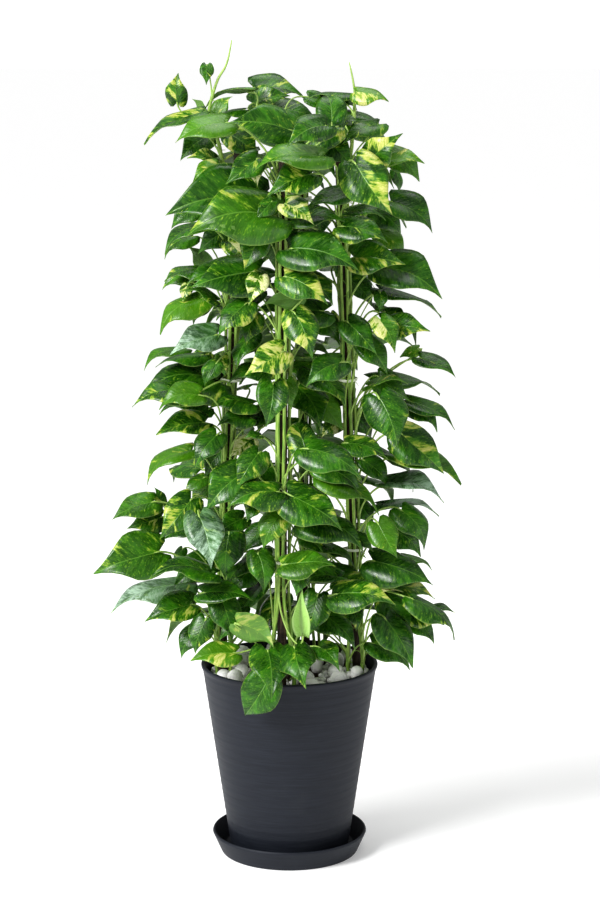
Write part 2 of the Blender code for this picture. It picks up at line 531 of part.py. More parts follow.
def wall_at(z):
    """Outside radius of the pot's wall."""
    return POT_FOOT_R + (POT_TOP_R - 0.0012 - POT_FOOT_R) * (z - POT_FOOT_Z) / (
        POT_TOP_Z - POT_FOOT_Z)


def build():
    for obj in list(bpy.data.objects):
        bpy.data.objects.remove(obj)
    for collection in (PLANT, CUTTERS):
        bpy.context.scene.collection.children.link(collection)

    charcoal = plain("pot_charcoal", (0.030, 0.036, 0.048), 0.55)
    saucer_charcoal = plain("saucer_charcoal", (0.030, 0.036, 0.048), 0.55)
    earth = plain("soil_dark", (0.035, 0.024, 0.016), 0.95)
    fibre = plain("pole_fibre", (0.040, 0.027, 0.018), 0.95)
    marble = plain("pebble_marble", (0.86, 0.85, 0.82), 0.45)
    pale = plain("tie_pale", (0.80, 0.83, 0.72), 0.5)
    green = plain("pothos_green", (0.06, 0.22, 0.03), 0.3)

    low, high = POT_FOOT_Z, POT_TOP_Z
    inner = wall_at(low + POT_FLOOR) - POT_WALL
    pot = turned("pot", (
        (0, low + POT_FLOOR), (inner, low + POT_FLOOR),
        (wall_at(0.255) - POT_WALL, 0.255), (POT_TOP_R - 0.0048, high - 0.0012),
        (POT_TOP_R - 0.0036, high), (POT_TOP_R - 0.0010, high), (POT_TOP_R, high - 0.0014),
        (POT_TOP_R - 0.0006, high - 0.0050), (wall_at(0.255), 0.255),
        (POT_FOOT_R + 0.0010, low + 0.0030), (POT_FOOT_R - 0.0006, low),
        (POT_FOOT_R - 0.0060, low), (POT_FOOT_R - 0.0080, low + 0.0020), (0, low + 0.0020),
    ), 36, charcoal)
    for i in range(5):
        turn = 2 * math.pi * i / 4
        spot = Vector((0, 0, 0)) if i == 4 else Vector((math.cos(turn), math.sin(turn), 0)) * 0.045
        bm = bmesh.new()
        peg(bm, spot + Vector((0, 0, -0.002)), spot + Vector((0, 0, 0.016)), DRAIN_R, DRAIN_R, 10)
        cut(pot, from_bmesh(f"drain_{i}", bm, None, helper=True))

    turned("saucer", (
        (0, 0.0040), (0.0895, 0.0040), (0.0915, 0.0052),
        (SAUCER_RIM_R - 0.0036, SAUCER_TOP_Z - 0.0006), (SAUCER_RIM_R - 0.0028, SAUCER_TOP_Z),
        (SAUCER_RIM_R - 0.0008, SAUCER_TOP_Z), (SAUCER_RIM_R, SAUCER_TOP_Z - 0.0010),
        (SAUCER_FOOT_R + 0.0012, 0.0020), (SAUCER_FOOT_R, 0), (0, 0),
    ), 36, saucer_charcoal)

    soil = turned("soil", (
        (0, SOIL_Z + 0.0015), (0.06, SOIL_Z + 0.0010),
        (wall_at(SOIL_Z) - POT_WALL - 0.0010, SOIL_Z),
        (inner - 0.0006, low + POT_FLOOR + GAP), (0, low + POT_FLOOR + GAP),
    ), 24, earth)

    lines = {(side, n): vine_line(side, n) for side in POLES for n in range(4)}
    space = Space()
    for side in POLES:
        foot, top = on_pole(side, POLE_FOOT_Z), on_pole(side, POLE_TOP_Z)
        bm = bmesh.new()
        peg(bm, foot, top, POLE_R, POLE_R - 0.0004, 10)
        pole = from_bmesh(f"pole_{side}", bm, fibre)
        space.add(solids_of(pole))
        bm = bmesh.new()
        way = (top - foot).normalized()
        peg(bm, foot - way * GAP, foot + way * 0.12, POLE_R + 0.0006, POLE_R + 0.0006, 10)
        cut(soil, from_bmesh(f"socket_{side}", bm, None, helper=True))
        for n in range(4):
            low_end = lines[side, n][0]
            bm = bmesh.new()
            peg(bm, low_end - Vector((0, 0, GAP)), low_end + Vector((0, 0, 0.024)),
                VINE_R + 0.0006, VINE_R + 0.0006, 6)
            cut(soil, from_bmesh(f"planting_{side}_{n + 1}", bm, None, helper=True))
        for n, z in enumerate(TIE_HEIGHTS):
            bm = bmesh.new()
            ring = bmesh.ops.create_circle(bm, segments=8, radius=TIE_R)["verts"]
            up = bmesh.ops.extrude_edge_only(bm, edges=bm.edges[:])["geom"]
            bmesh.ops.translate(bm, verts=[v for v in up if isinstance(v, bmesh.types.BMVert)],
                                vec=(0, 0, TIE_HIGH))
            bmesh.ops.rotate(bm, verts=bm.verts,
                             matrix=Vector((0, 0, 1)).rotation_difference(way).to_matrix())
            bmesh.ops.translate(bm, verts=bm.verts, vec=on_pole(side, z))
            tie = from_bmesh(f"tie_{side}_{n + 1}", bm, pale)
            thick = tie.modifiers.new("Band", "SOLIDIFY")
            thick.thickness, thick.offset = TIE_THICK, 1
            space.add(solids_of(tie))

    space.add(solids_of(pot), solids_of(soil))
    for (side, n), line in lines.items():
        space.add(Space.solid(*rod(line, VINE_R + 0.0006), owner=(side, n)))

    rng = Random(7)
    placed = 0
    spots = [(0.1005, 13 + 30 * k) for k in range(12)] + [(0.070, 20 + 45 * k) for k in range(8)] \
        + [(0.038, 72 * k) for k in range(5)] + [(0.085, 31 + 36 * k) for k in range(10)]
    for ring_r, degrees in spots:
        if placed == PEBBLES:
            break
        for attempt in range(8):
            turn = math.radians(degrees + rng.uniform(-6, 6) * attempt)
            size = Vector((rng.uniform(0.012, 0.0155), rng.uniform(0.009, 0.0115),
                           rng.uniform(0.0085, 0.0125)))
            r = min(ring_r, 0.1135 - size.y)
            bm = bmesh.new()
            bmesh.ops.create_uvsphere(bm, u_segments=7, v_segments=4, radius=1.0)
            bmesh.ops.scale(bm, verts=bm.verts, vec=size)
            for vert in bm.verts:
                vert.co *= 1 + 0.06 * math.sin(400 * vert.co.x + 5 * degrees)
            spin = turn + math.pi / 2 + rng.uniform(-0.3, 0.3)
            bmesh.ops.rotate(bm, verts=bm.verts, matrix=Vector((1, 0, 0)).rotation_difference(
                Vector((math.cos(spin), math.sin(spin), 0))).to_matrix())
            rest = SOIL_Z + 0.0015 + GAP - min(v.co.z for v in bm.verts)
            bmesh.ops.translate(bm, verts=bm.verts,
                                vec=(r * math.cos(turn), r * math.sin(turn), rest))
            test = Space.solid([v.co.copy() for v in bm.verts],
                               [tuple(v.index for v in f.verts) for f in bm.faces])
            if space.free(test):
                placed += 1
                space.add(test)
                from_bmesh(f"pebble_{placed:02d}", bm, marble)
                break
            bm.free()

    leaves = lay_out(space, lines)
    round_stem = outline("stem_outline", VINE_R, 5)
    for (side, n), line in lines.items():
        own = [leaf for leaf in leaves if (leaf["side"], leaf["vine"]) == (side, n)]
        taper = [1.0] * (len(line) - 2) + [0.8, 0.45]
        vine = from_bmesh(f"vine_{side}_{n + 1}",
                          tubes(f"stem_{side}_{n + 1}", [line], round_stem, taper), green)
        if not own:
            continue
        points, faces = [], []
        for leaf in own:
            sheet = leaf_sheet(leaf["stalk"], leaf["axes"], leaf["length"], leaf["wide"])
            faces += [tuple(len(points) + i for i in face) for face in sheet[1]]
            points += sheet[0]
        mesh = bpy.data.meshes.new(f"leaves_{side}_{n + 1}")
        mesh.from_pydata([tuple(p) for p in points], [], faces)
        blades = piece(f"leaves_{side}_{n + 1}", mesh, None, helper=True)
        thick = blades.modifiers.new("Thickness", "SOLIDIFY")
        thick.thickness, thick.offset = BLADE_THICK, 0
        cut(vine, blades, "UNION")
    print("leaves", len(leaves), "pebbles", placed)


build()
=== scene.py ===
"""The finished look of the golden pothos: leaves, vines, poles, pebbles, soil, pot and saucer.

Metres, +Z up, the front towards -Y. Vines and leaves stand where the part's source puts them,
so the planting below repeats its measures and its rules.
"""

import math
from random import Random

import bpy
import numpy as np
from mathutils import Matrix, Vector
from mathutils.bvhtree import BVHTree


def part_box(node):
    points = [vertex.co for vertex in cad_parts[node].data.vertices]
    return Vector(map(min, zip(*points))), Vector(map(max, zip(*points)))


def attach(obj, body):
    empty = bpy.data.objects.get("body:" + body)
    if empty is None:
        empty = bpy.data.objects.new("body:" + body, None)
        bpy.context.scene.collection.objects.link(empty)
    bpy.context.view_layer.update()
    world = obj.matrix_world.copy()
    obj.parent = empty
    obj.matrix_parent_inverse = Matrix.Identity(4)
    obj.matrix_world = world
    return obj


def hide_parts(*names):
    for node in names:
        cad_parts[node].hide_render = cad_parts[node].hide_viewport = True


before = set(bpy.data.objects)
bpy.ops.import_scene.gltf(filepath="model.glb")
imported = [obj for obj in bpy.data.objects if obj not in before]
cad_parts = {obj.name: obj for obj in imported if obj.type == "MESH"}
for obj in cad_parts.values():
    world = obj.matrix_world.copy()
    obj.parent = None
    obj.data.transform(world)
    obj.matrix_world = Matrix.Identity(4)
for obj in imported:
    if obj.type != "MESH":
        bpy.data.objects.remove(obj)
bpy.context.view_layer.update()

# ---------------------------------------------------------------- measures of the planting

FRONT_EYE = Vector((0.0147, -3.2, 1.142))   # where somebody looking at the front stands

POT_FOOT_Z, POT_TOP_Z = 0.0043, 0.270       # the pot stands just clear of the saucer's floor
POT_FOOT_R, POT_TOP_R = 0.0820, 0.1225      # outside
POT_WALL = 0.0042
POT_FLOOR = 0.006
DRAIN_R, DRAIN_RING, DRAINS_AROUND = 0.006, 0.045, 4     # and one more in the middle
SAUCER_FOOT_R, SAUCER_RIM_R, SAUCER_TOP_Z = 0.0951, 0.1078, 0.0295
SOIL_Z = 0.2510                             # top of the soil

POLE_FOOT_Z, POLE_TOP_Z = 0.195, 1.010
POLE_FOOT_RING, POLE_TOP_RING = 0.0945, 0.0660     # how far the pole stands from the pot's axis
POLE_R = 0.0066
POLES = {"left": 184, "front": 264, "right": 356, "back": 76}   # degrees round from +X
TIE_HEIGHTS = (0.43, 0.665, 0.905)
FIBRES, AIR_ROOTS = 90, 2                   # loose ones on a pole, and at every leaf
TIE_R, TIE_HIGH = 0.0139, 0.004

VINE_R = 0.0025
VINE_RING = 0.0098                          # from the pole's axis to a vine's
VINE_FOOT_RING = 0.0190
VINE_FEET = (50, 112, -112, -50)            # degrees round the pole from the pot's axis
VINE_SIDES = {"left": (50, 150, -115, -69), "front": (60, 157, -157, -60),
              "right": (69, 115, -150, -50), "back": (37, 130, -130, -9)}
VINE_TOPS = {"left": (0.975, 0.995, 0.94, 0.90), "front": (0.99, 0.93, 0.965, 0.90),
             "right": (0.93, 0.975, 0.985, 0.89), "back": (1.00, 0.94, 0.90, 0.97)}
# Two vines run on past their poles: x and z in cm as the viewer sees them, then how far forward.
RUNNERS = {("left", 1): ((-9.6, 99.2, 1), (-10.7, 102.0, 1.5), (-10.2, 104.6, 2),
                         (-9.4, 107.0, 2), (-8.3, 109.0, 2), (-7.6, 112.1, 2)),
           ("right", 2): ((8.6, 100.8, 0), (8.8, 104.6, 0), (8.6, 106.6, 0), (8.0, 109.2, 0))}

STALK_HALF = 0.0015                         # half the width of a leaf stalk
BLADE_THICK = 0.0011
CLEAR = 0.0011                              # kept free round a stalk or a blade
PEBBLES = 20
CHIPS_TRIED, CHIPS_REACH, CRUMBS = 900, 0.1115, 420

HUNG_BY, HUNG_LEVEL = 14, 75                # degrees


def hung(turn):
    """The turn of a leaf that hangs flatter than it looks: less by HUNG_BY degrees at a turn of
    0, and by evenly less up to nothing at HUNG_LEVEL."""
    return round(turn - HUNG_BY * (1 - turn / HUNG_LEVEL))


# Leaves one by one, in centimetres: x and z of the blade's foot, x and z of its tip, both as the
# viewer sees them against the upright plane through the pot's axis; how far in front of that
# plane foot and tip stand; the turn of the upper side (0 up, 90 to the viewer); share of cream,
# or -1 for a leaf with a painted silvery sheen, a painted reflection in its colour.
LEAVES = {
    "left": (
        (-10.9, 108.8, -11.0, 106.3, 2, 3, 80, .1), (-14.9, 103.9, -14.7, 107.8, 0, 0, 75, .3),
        (-11.2, 102.6, -12.8, 104.4, -7, -8, -50, .2),
        (-4.9, 105.3, -11.3, 103.8, 0, 0, hung(8), .3),
        (-11.8, 102.2, -19.4, 98.4, 2, 3, hung(22), .5),
        (-9.6, 102.0, -7.6, 104.8, -5, -6, 60, .6),
        (-6.0, 102.9, -9.9, 101.8, -2, -1, hung(25), .1),
        (-9.9, 96.4, -13.4, 96.9, 1, 3, hung(50), .5), (-9.5, 95.7, -12.9, 93.6, 4, 6, 55, .4),
        (-8.6, 94.4, -12.2, 91.4, 0, 0, hung(30), .1), (-4.1, 90.7, -16.6, 89.0, 6, 8, 60, .1),
        (-11.3, 87.3, -16.8, 83.7, 3, 5, hung(18), .2),
        (-8.0, 85.3, -5.2, 81.8, 3, 5, hung(50), .8), (-11.0, 82.0, -13.4, 84.8, -4, -4, -65, .2),
        (-7.4, 82.0, -14.0, 79.9, 3, 5, hung(50), .1), (-4.3, 81.4, -13.2, 79.4, 7, 10, 56, .2),
        (-11.2, 81.4, -16.9, 80.2, -1, 0, hung(18), .2), (-13.7, 79.5, -14.4, 77.2, 2, 3, 60, .8),
        (-11.8, 77.6, -17.7, 73.1, 2, 4, hung(34), .5),
        (-9.9, 77.4, -13.7, 79.0, 2, 3, hung(40), .1),
        (-11.2, 76.9, -13.1, 74.0, 3, 4, hung(34), .2), (-9.8, 72.7, -16.1, 70.6, 6, 9, 55, -1),
        (-14.3, 70.4, -19.9, 68.4, -2, 0, 3, .1), (-11.8, 69.9, -18.2, 68.5, 3, 5, 7, .2),
        (-10.6, 70.2, -13.6, 69.9, 0, 1, 55, .8), (-9.2, 69.8, -8.7, 67.0, 4, 5, 70, .6),
        (-9.9, 68.8, -11.6, 65.8, 5, 6, 60, .0), (-9.8, 66.2, -20.1, 64.9, 2, 5, hung(46), .1),
        (-13.2, 64.9, -21.4, 63.7, 6, 8, hung(36), .4), (-12.3, 64.4, -17.8, 62.9, 9, 10, 52, .4),
        (-11.3, 62.8, -17.8, 62.3, 0, 1, hung(26), .1),
        (-11.6, 60.6, -18.2, 59.0, 4, 6, hung(42), .5),
        (-5.1, 63.2, -11.1, 62.6, 5, 6, hung(30), .2),
        (-5.3, 61.3, -9.8, 60.6, 1, 2, hung(48), .1), (-9.9, 58.9, -13.0, 54.4, 9, 11, 70, .2),
        (-13.4, 56.6, -19.6, 52.2, 2, 4, 16, .3), (-5.2, 58.4, -8.1, 56.0, 3, 5, 62, .9),
        (-11.7, 53.0, -14.4, 50.7, 3, 4, 52, .2), (-18.7, 49.6, -24.4, 47.1, 5, 7, 54, .4),
        (-17.3, 49.2, -18.4, 51.7, 3, 3, 60, .3), (-17.6, 47.5, -22.3, 46.0, 3, 5, 62, .6),
        (-13.5, 49.9, -17.9, 44.5, 8, 10, 74, .5), (-12.4, 46.4, -18.0, 44.3, 4, 5, hung(38), .1),
        (-12.4, 47.6, -10.8, 40.2, 11, 14, 80, -1), (-18.0, 42.6, -26.9, 40.0, 6, 9, 66, .4),
        (-6.3, 47.3, -10.1, 45.0, 8, 10, 62, .2), (-8.3, 45.3, -8.9, 38.8, 6, 7, 70, .1),
        (-14.7, 43.0, -16.0, 41.0, 1, 2, hung(50), .1), (-10.6, 39.4, -19.2, 39.8, 8, 10, 12, .2),
        (-14.6, 37.9, -24.8, 34.0, -1, 2, 8, -1), (-13.6, 35.1, -20.1, 32.9, 4, 6, 62, .3),
        (-11.9, 36.8, -5.0, 36.1, 8, 10, hung(46), .1), (-11.6, 33.0, -13.1, 28.1, 8, 9, 74, .3),
        (-9.4, 36.0, -7.7, 30.0, 10, 12, 64, .1), (-8.2, 87.0, -12.4, 84.0, -1, 0, 55, .1),
        (-10.6, 99.6, -14.6, 96.4, -2, 0, 50, .3), (-12.0, 90.2, -16.0, 87.4, -2, -1, 50, .3),
        (-11.4, 41.6, -16.2, 37.6, 0, 2, 60, .1), (-13.0, 86.0, -17.0, 83.4, -3, -2, 40, .1),
        (-12.2, 81.0, -17.2, 79.0, -2, -1, 40, .2), (-9.0, 57.2, -11.6, 53.2, 0, 1, 60, .0),
        (-10.4, 52.6, -13.6, 49.2, -1, 0, 60, .1), (-12.6, 31.6, -15.2, 27.6, 3, 4, 60, .2),
    ),
    "front": (
        (.3, 100.2, -8.0, 101.3, 8, 10, 62, .3), (5.7, 101.2, 4.8, 105.1, 8, 4, 60, .3),
        (4.9, 100.8, -.3, 98.0, 8, 11, 60, .4), (-4.3, 96.4, -8.5, 93.1, 9, 11, 62, .3),
        (-4.6, 95.8, -4.2, 92.8, 8, 9, 70, .9), (-8.3, 101.2, -15.2, 98.8, 5, 7, hung(38), .3),
        (-.4, 90.4, 3.3, 87.8, 10, 12, 74, .7), (-1.9, 88.8, -13.8, 86.8, 9, 12, 60, .3),
        (-2.3, 90.8, -4.5, 88.4, 8, 9, 70, .3), (-4.0, 86.5, -6.1, 81.5, 8, 9, 72, .3),
        (.3, 84.4, 9.4, 81.5, 10, 13, 60, .1), (-4.0, 80.6, -5.5, 76.9, 9, 11, 70, .9),
        (-.4, 80.6, 5.3, 76.8, 11, 13, 66, .5), (1.6, 77.9, -3.6, 77.0, 8, 9, -50, .1),
        (4.6, 75.9, -4.8, 76.6, 6, 8, hung(36), .0), (-5.8, 77.0, -9.8, 72.8, 9, 11, 58, .3),
        (.8, 75.6, 3.2, 69.4, 12, 14, 84, .6), (-4.6, 75.2, -5.9, 71.4, 7, 8, 60, .3),
        (-.9, 70.4, -6.0, 67.5, 12, 14, 76, .6), (-2.2, 66.0, -3.2, 60.1, 12, 14, 80, .3),
        (-.4, 66.4, .4, 62.6, 10, 11, 66, .2), (2.2, 56.8, .6, 61.0, 12, 8, 62, .4),
        (2.5, 57.0, 10.0, 53.1, 12, 14, hung(46), .2),
        (-4.0, 58.8, -6.2, 58.5, 9, 10, hung(40), .1), (-4.2, 56.4, -7.3, 51.5, 10, 12, 66, .4),
        (-6.1, 53.7, -11.5, 48.4, 11, 13, 66, .3), (-1.6, 51.0, -8.6, 48.9, 11, 13, hung(50), .4),
        (-4.6, 49.3, -5.9, 46.9, 13, 14, 60, .2), (.0, 50.6, 7.5, 46.1, 13, 15, 52, .2),
        (2.5, 46.9, 10.4, 43.0, 10, 12, hung(42), .3),
        (4.2, 54.5, 9.9, 50.8, 9, 10, hung(50), .1), (-4.3, 42.3, -3.5, 36.8, 11, 13, 80, .1),
        (.9, 40.5, -2.1, 39.2, 13, 14, hung(50), .4),
        (-.6, 40.8, 6.3, 41.3, 13, 14, hung(42), .3), (1.6, 40.0, .9, 36.3, 14, 15, 74, .2),
        (7.0, 38.9, 1.1, 37.6, 10, 11, hung(30), .2), (-7.2, 32.4, -1.9, 29.2, 12, 13, -62, .4),
        (-3.0, 28.5, -2.5, 21.7, 13, 18, 78, .2), (-2.9, 24.7, -6.5, 19.0, 14, 13, 84, .1),
        (.7, 29.0, 2.2, 23.5, 13, 18, 76, .1), (4.2, 29.0, 6.9, 26.0, 12, 15, 70, .1),
        (3.9, 36.4, 2.4, 30.3, 10, 11, 70, .2), (-7.6, 28.2, -13.8, 27.2, 11, 12, hung(46), .55),
        (-1.2, 47.8, -3.6, 43.0, 9, 10, 66, .3), (-5.6, 33.6, -9.9, 30.2, 8, 9, 52, .1),
        (-4.8, 103.8, .0, 105.0, -1, 0, 60, .7), (-7.8, 99.6, -4.2, 96.2, 3, 4, 70, .5),
        (6.2, 100.6, .8, 96.6, 5, 6, 60, .4), (5.0, 98.8, 8.6, 95.4, 7, 8, 70, .1),
        (-4.6, 40.8, -8.2, 36.4, 1, 2, 60, .0), (-3.2, 45.8, -6.8, 42.0, 2, 3, 60, .1),
        (4.4, 64.0, 7.4, 59.6, 0, 1, 60, .3), (3.6, 75.0, 7.0, 71.6, 0, 1, 60, .1),
        (2.6, 104.6, 6.0, 103.0, -4, -4, 50, .1),
    ),
    "right": (
        (4.3, 96.6, -4.9, 94.9, 10, 12, hung(34), .3), (3.0, 94.4, -2.9, 91.8, 11, 13, 62, .5),
        (8.3, 104.9, 2.0, 104.3, -2, 0, hung(12), .1),
        (9.0, 105.3, 13.3, 104.2, 0, 1, hung(50), .6),
        (6.0, 101.1, 9.3, 101.6, 6, 8, hung(50), .3), (10.6, 96.2, 14.8, 99.8, 7, 9, 76, .5),
        (7.4, 102.6, 12.9, 100.2, -1, 0, hung(18), .1),
        (11.9, 101.0, 7.2, 98.8, 3, 6, hung(36), .5),
        (6.4, 104.2, 9.3, 102.9, -5, -4, hung(28), .0), (8.9, 95.8, 13.9, 89.0, 10, 12, 80, .5),
        (13.0, 95.9, 18.1, 96.0, 1, 3, hung(36), .4),
        (13.7, 90.7, 19.5, 86.9, 1, 2, hung(50), .2),
        (14.2, 94.8, 14.6, 91.8, -4, -4, hung(44), .0), (7.2, 87.4, 13.3, 85.7, 9, 11, 52, .4),
        (8.8, 83.2, 15.6, 82.5, 6, 8, 62, .5), (12.6, 81.8, 20.7, 77.6, 3, 6, 62, .1),
        (12.5, 78.7, 20.8, 75.7, 1, 3, 3, .3), (12.3, 78.4, 12.2, 75.9, 3, 4, 60, .0),
        (13.0, 75.8, 16.2, 74.5, 2, 4, hung(46), .1), (13.6, 74.0, 19.1, 73.3, 6, 8, 60, .4),
        (12.3, 74.7, 14.4, 70.3, 9, 11, 70, .7), (17.8, 69.5, 22.7, 67.1, 3, 5, hung(32), .3),
        (17.5, 70.8, 15.0, 69.7, 0, 0, hung(50), .6), (8.0, 74.4, 11.9, 70.2, 6, 8, 60, .1),
        (7.0, 68.9, 2.3, 65.8, 10, 12, 60, .1), (7.6, 65.6, 2.6, 61.9, -1, 1, 58, .6),
        (12.2, 64.1, 14.8, 57.1, 10, 12, 84, .2), (10.9, 65.7, 16.0, 66.6, 4, 6, hung(28), .3),
        (16.3, 63.6, 22.9, 60.4, -1, 1, 14, .1), (15.2, 59.2, 21.4, 53.9, 5, 7, 60, .3),
        (14.3, 55.8, 23.6, 52.1, 3, 5, 9, .1), (8.0, 57.8, 13.5, 55.7, 8, 9, hung(42), .3),
        (6.9, 60.6, 4.3, 58.6, 0, 1, 60, .8), (13.2, 52.0, 21.3, 50.1, 2, 4, 11, -1),
        (5.0, 52.9, 12.4, 47.9, 10, 12, hung(28), .2), (12.6, 49.0, 20.6, 48.1, -3, -1, 2, -1),
        (12.2, 46.6, 14.9, 41.7, 11, 13, 80, .3), (15.4, 48.4, 18.9, 43.1, 6, 8, 50, .1),
        (11.6, 41.3, 19.9, 38.0, 7, 9, 56, .0), (15.8, 42.0, 19.8, 40.4, -4, -3, 6, .1),
        (7.3, 37.8, 15.7, 37.4, 8, 10, hung(46), .7),
        (6.5, 36.6, 14.6, 35.9, 12, 14, hung(42), .4),
        (13.5, 37.8, 20.1, 36.8, 4, 6, hung(36), .4), (13.3, 35.8, 16.9, 30.7, 7, 9, 66, .1),
        (13.2, 33.2, 17.3, 26.2, 11, 13, 40, .1), (16.8, 33.7, 21.5, 32.3, 4, 5, 60, .6),
        (17.0, 35.9, 23.4, 30.7, 8, 9, 10, .2), (19.3, 34.2, 22.9, 34.1, 0, 1, hung(24), .3),
        (11.5, 29.6, 17.0, 26.1, 5, 6, hung(38), .2), (7.5, 91.9, 2.2, 90.2, 4, 6, hung(50), .0),
        (8.0, 89.3, 13.0, 88.9, 6, 7, hung(26), .1), (.7, 88.6, 7.6, 88.2, 5, 7, hung(38), .1),
        (9.0, 44.8, 11.6, 42.6, 5, 6, hung(50), .2), (8.6, 35.0, 9.4, 31.4, 4, 5, 66, .3),
        (10.0, 71.8, 13.4, 67.4, 2, 3, 60, .1), (14.0, 45.8, 18.2, 42.0, 2, 3, 60, .1),
        (8.4, 80.0, 11.2, 76.6, 0, 0, 60, .3), (12.2, 67.0, 16.4, 63.8, 1, 2, 55, .1),
        (13.8, 97.2, 17.6, 93.6, 0, 1, 50, .2), (11.6, 89.4, 15.4, 86.4, 0, 0, 50, .1),
        (16.0, 62.8, 20.4, 59.6, -1, 0, 40, .2), (10.2, 55.4, 13.6, 51.8, 1, 1, 60, .1),
        (16.6, 33.2, 20.4, 29.8, 3, 4, 50, .1), (8.4, 61.8, 11.4, 58.4, 0, 0, 60, .0),
        (12.2, 86.6, 15.6, 83.2, -2, -1, 50, .3), (9.0, 49.6, 11.6, 46.2, 0, 1, 60, .1),
    ),
    "back": (
        (-4.6, 105.8, 2.2, 104.5, -7, -8, 42, .2), (-2.0, 103.4, 4.2, 101.6, -5, -6, 50, .1),
        (2.2, 66.2, 5.2, 62.3, -6, -5, 60, .1), (-5.4, 73.6, -8.2, 70.6, -6, -6, hung(50), .1),
        (6.6, 85.0, 2.0, 83.2, -5, -4, hung(40), .0),
        (-.8, 60.6, 3.6, 59.2, -5, -4, hung(40), .0), (5.6, 75.6, 6.4, 73.2, -4, -4, 60, .5),
        (-8.2, 91.8, -12.4, 91.2, -5, -6, hung(26), .1),
    ),
}

# Rolled new leaves on a looping stalk, as above with the width's share last.
ROLLED = ((1.9, 30.7, 1.8, 37.2, 14, 14, 70, .2, 0.40),)
CROWN_REACH = 0.175                         # how far the filling leaves reach from the middle
BACK_ROWS, BACK_EACH = 12, 4
INNER_ROWS, INNER_EACH = 14, 7


def along_sight(x_cm, z_cm, forward_cm):
    """A point seen at (x, z) against the plane through the pot's axis, moved to the viewer."""
    seen = Vector((x_cm * 0.01, 0.0, z_cm * 0.01))
    return seen + (FRONT_EYE - seen) * (forward_cm * 0.01 / -FRONT_EYE.y)


def on_pole(side, z):
    """The pole's axis at height z."""
    t = (z - 0.25) / (POLE_TOP_Z - 0.25)
    ring = POLE_FOOT_RING + (POLE_TOP_RING - POLE_FOOT_RING) * t
    turn = math.radians(POLES[side])
    return Vector((ring * math.cos(turn), ring * math.sin(turn), z))


def vine_line(side, number):
    """The middle line of one vine, from its foot in the soil to its growing tip."""
    inward = POLES[side] + 180
    foot_turn = math.radians(inward + VINE_FEET[number])
    foot = on_pole(side, 0.25) + VINE_FOOT_RING * Vector((math.cos(foot_turn),
                                                          math.sin(foot_turn), 0))
    line = [Vector((foot.x, foot.y, z)) for z in (0.236, 0.262, 0.285)]
    top = VINE_TOPS[side][number]
    for z in np.linspace(0.385, top, 8):
        drift = 7 * math.sin(9 * z)
        turn = math.radians(inward + VINE_SIDES[side][number] + drift)
        line.append(on_pole(side, float(z)) + VINE_RING * Vector((math.cos(turn),
                                                                 math.sin(turn), 0)))
    if (side, number) in RUNNERS:
        line[-1:] = [along_sight(*row) for row in RUNNERS[side, number]]
    return line


def at_height(line, z):
    """The point of a vine's middle line at height z."""
    for low, high in zip(line, line[1:]):
        if z <= high.z:
            return low.lerp(high, max(0.0, (z - low.z) / (high.z - low.z)))
    return line[-1].copy()


def bezier(a, b, c, d, count):
    return [a * (1 - t) ** 3 + b * 3 * t * (1 - t) ** 2 + c * 3 * t * t * (1 - t) + d * t ** 3
            for t in (i / count for i in range(count + 1))]


def frame_of(foot, tip, turn, look):
    """Along, across and upper-side directions of a blade; look is where a turn of 90 faces."""
    along = (tip - foot).normalized()
    up = Vector((0, 0, 1)) - along * along.z
    up = up.normalized() if up.length > 0.05 else look.copy()
    face = look - along * look.dot(along)
    face = face.normalized() if face.length > 0.05 else up.copy()
    turn = math.radians(turn)
    normal = up * math.cos(turn) + face * math.sin(turn)
    normal = (normal - along * normal.dot(along)).normalized()
    return along, along.cross(normal).normalized(), normal


# One half of a blade's edge as (share along, share across) of its length.
EDGE = ((-0.03, 0.355), (0.51, 0.32))


def leaf_sheet(stalk, axes, length, wide=1.0):
    """Corners and faces of a leaf as one sheet: the stalk's strap, then the folded blade."""
    along, across, normal = axes
    foot = stalk[-1]
    first = (stalk[-1] - stalk[0]).cross(Vector((0, 0, 1)))
    first = first.normalized() if first.length > 0.005 else across.copy()
    if first.dot(across) < 0:
        first = -first
    points, faces = [], []
    for i, p in enumerate(stalk):
        share = i / (len(stalk) - 1)
        way = (stalk[min(i + 1, len(stalk) - 1)] - stalk[max(i - 1, 0)]).normalized()
        side = first.lerp(across, share)
        side = (side - way * side.dot(way)).normalized() if i < len(stalk) - 1 else across
        points += [p + side * STALK_HALF, p - side * STALK_HALF]
        if i:
            faces.append((2 * i - 2, 2 * i - 1, 2 * i + 1, 2 * i))
    left, right = len(points) - 2, len(points) - 1
    n = len(points)
    for sign in (1, -1):
        for u, v in EDGE:
            lift = 0.24 * u * (1 - u) + 0.20 * v * wide
            points.append(foot + length * (along * u + across * (sign * v * wide)
                                           + normal * lift))
    points.append(foot + along * length)
    tip = n + 4
    faces += [(left, right, tip), (n, left, n + 1), (n + 1, left, tip),
              (right, n + 2, n + 3), (right, n + 3, tip)]
    return points, faces


def slab(points, faces, normal, half):
    """A leaf sheet given thickness along one direction, as a bare solid for clearance tests."""
    n = len(points)
    both = [p + normal * half for p in points] + [p - normal * half for p in points]
    walls = {}
    for face in faces:
        for a, b in zip(face, face[1:] + face[:1]):
            if (b, a) in walls:
                del walls[b, a]
            else:
                walls[a, b] = True
    shell = [tuple(f) for f in faces] + [tuple(n + i for i in f) for f in faces]
    return both, shell + [(a, b, n + b, n + a) for a, b in walls]


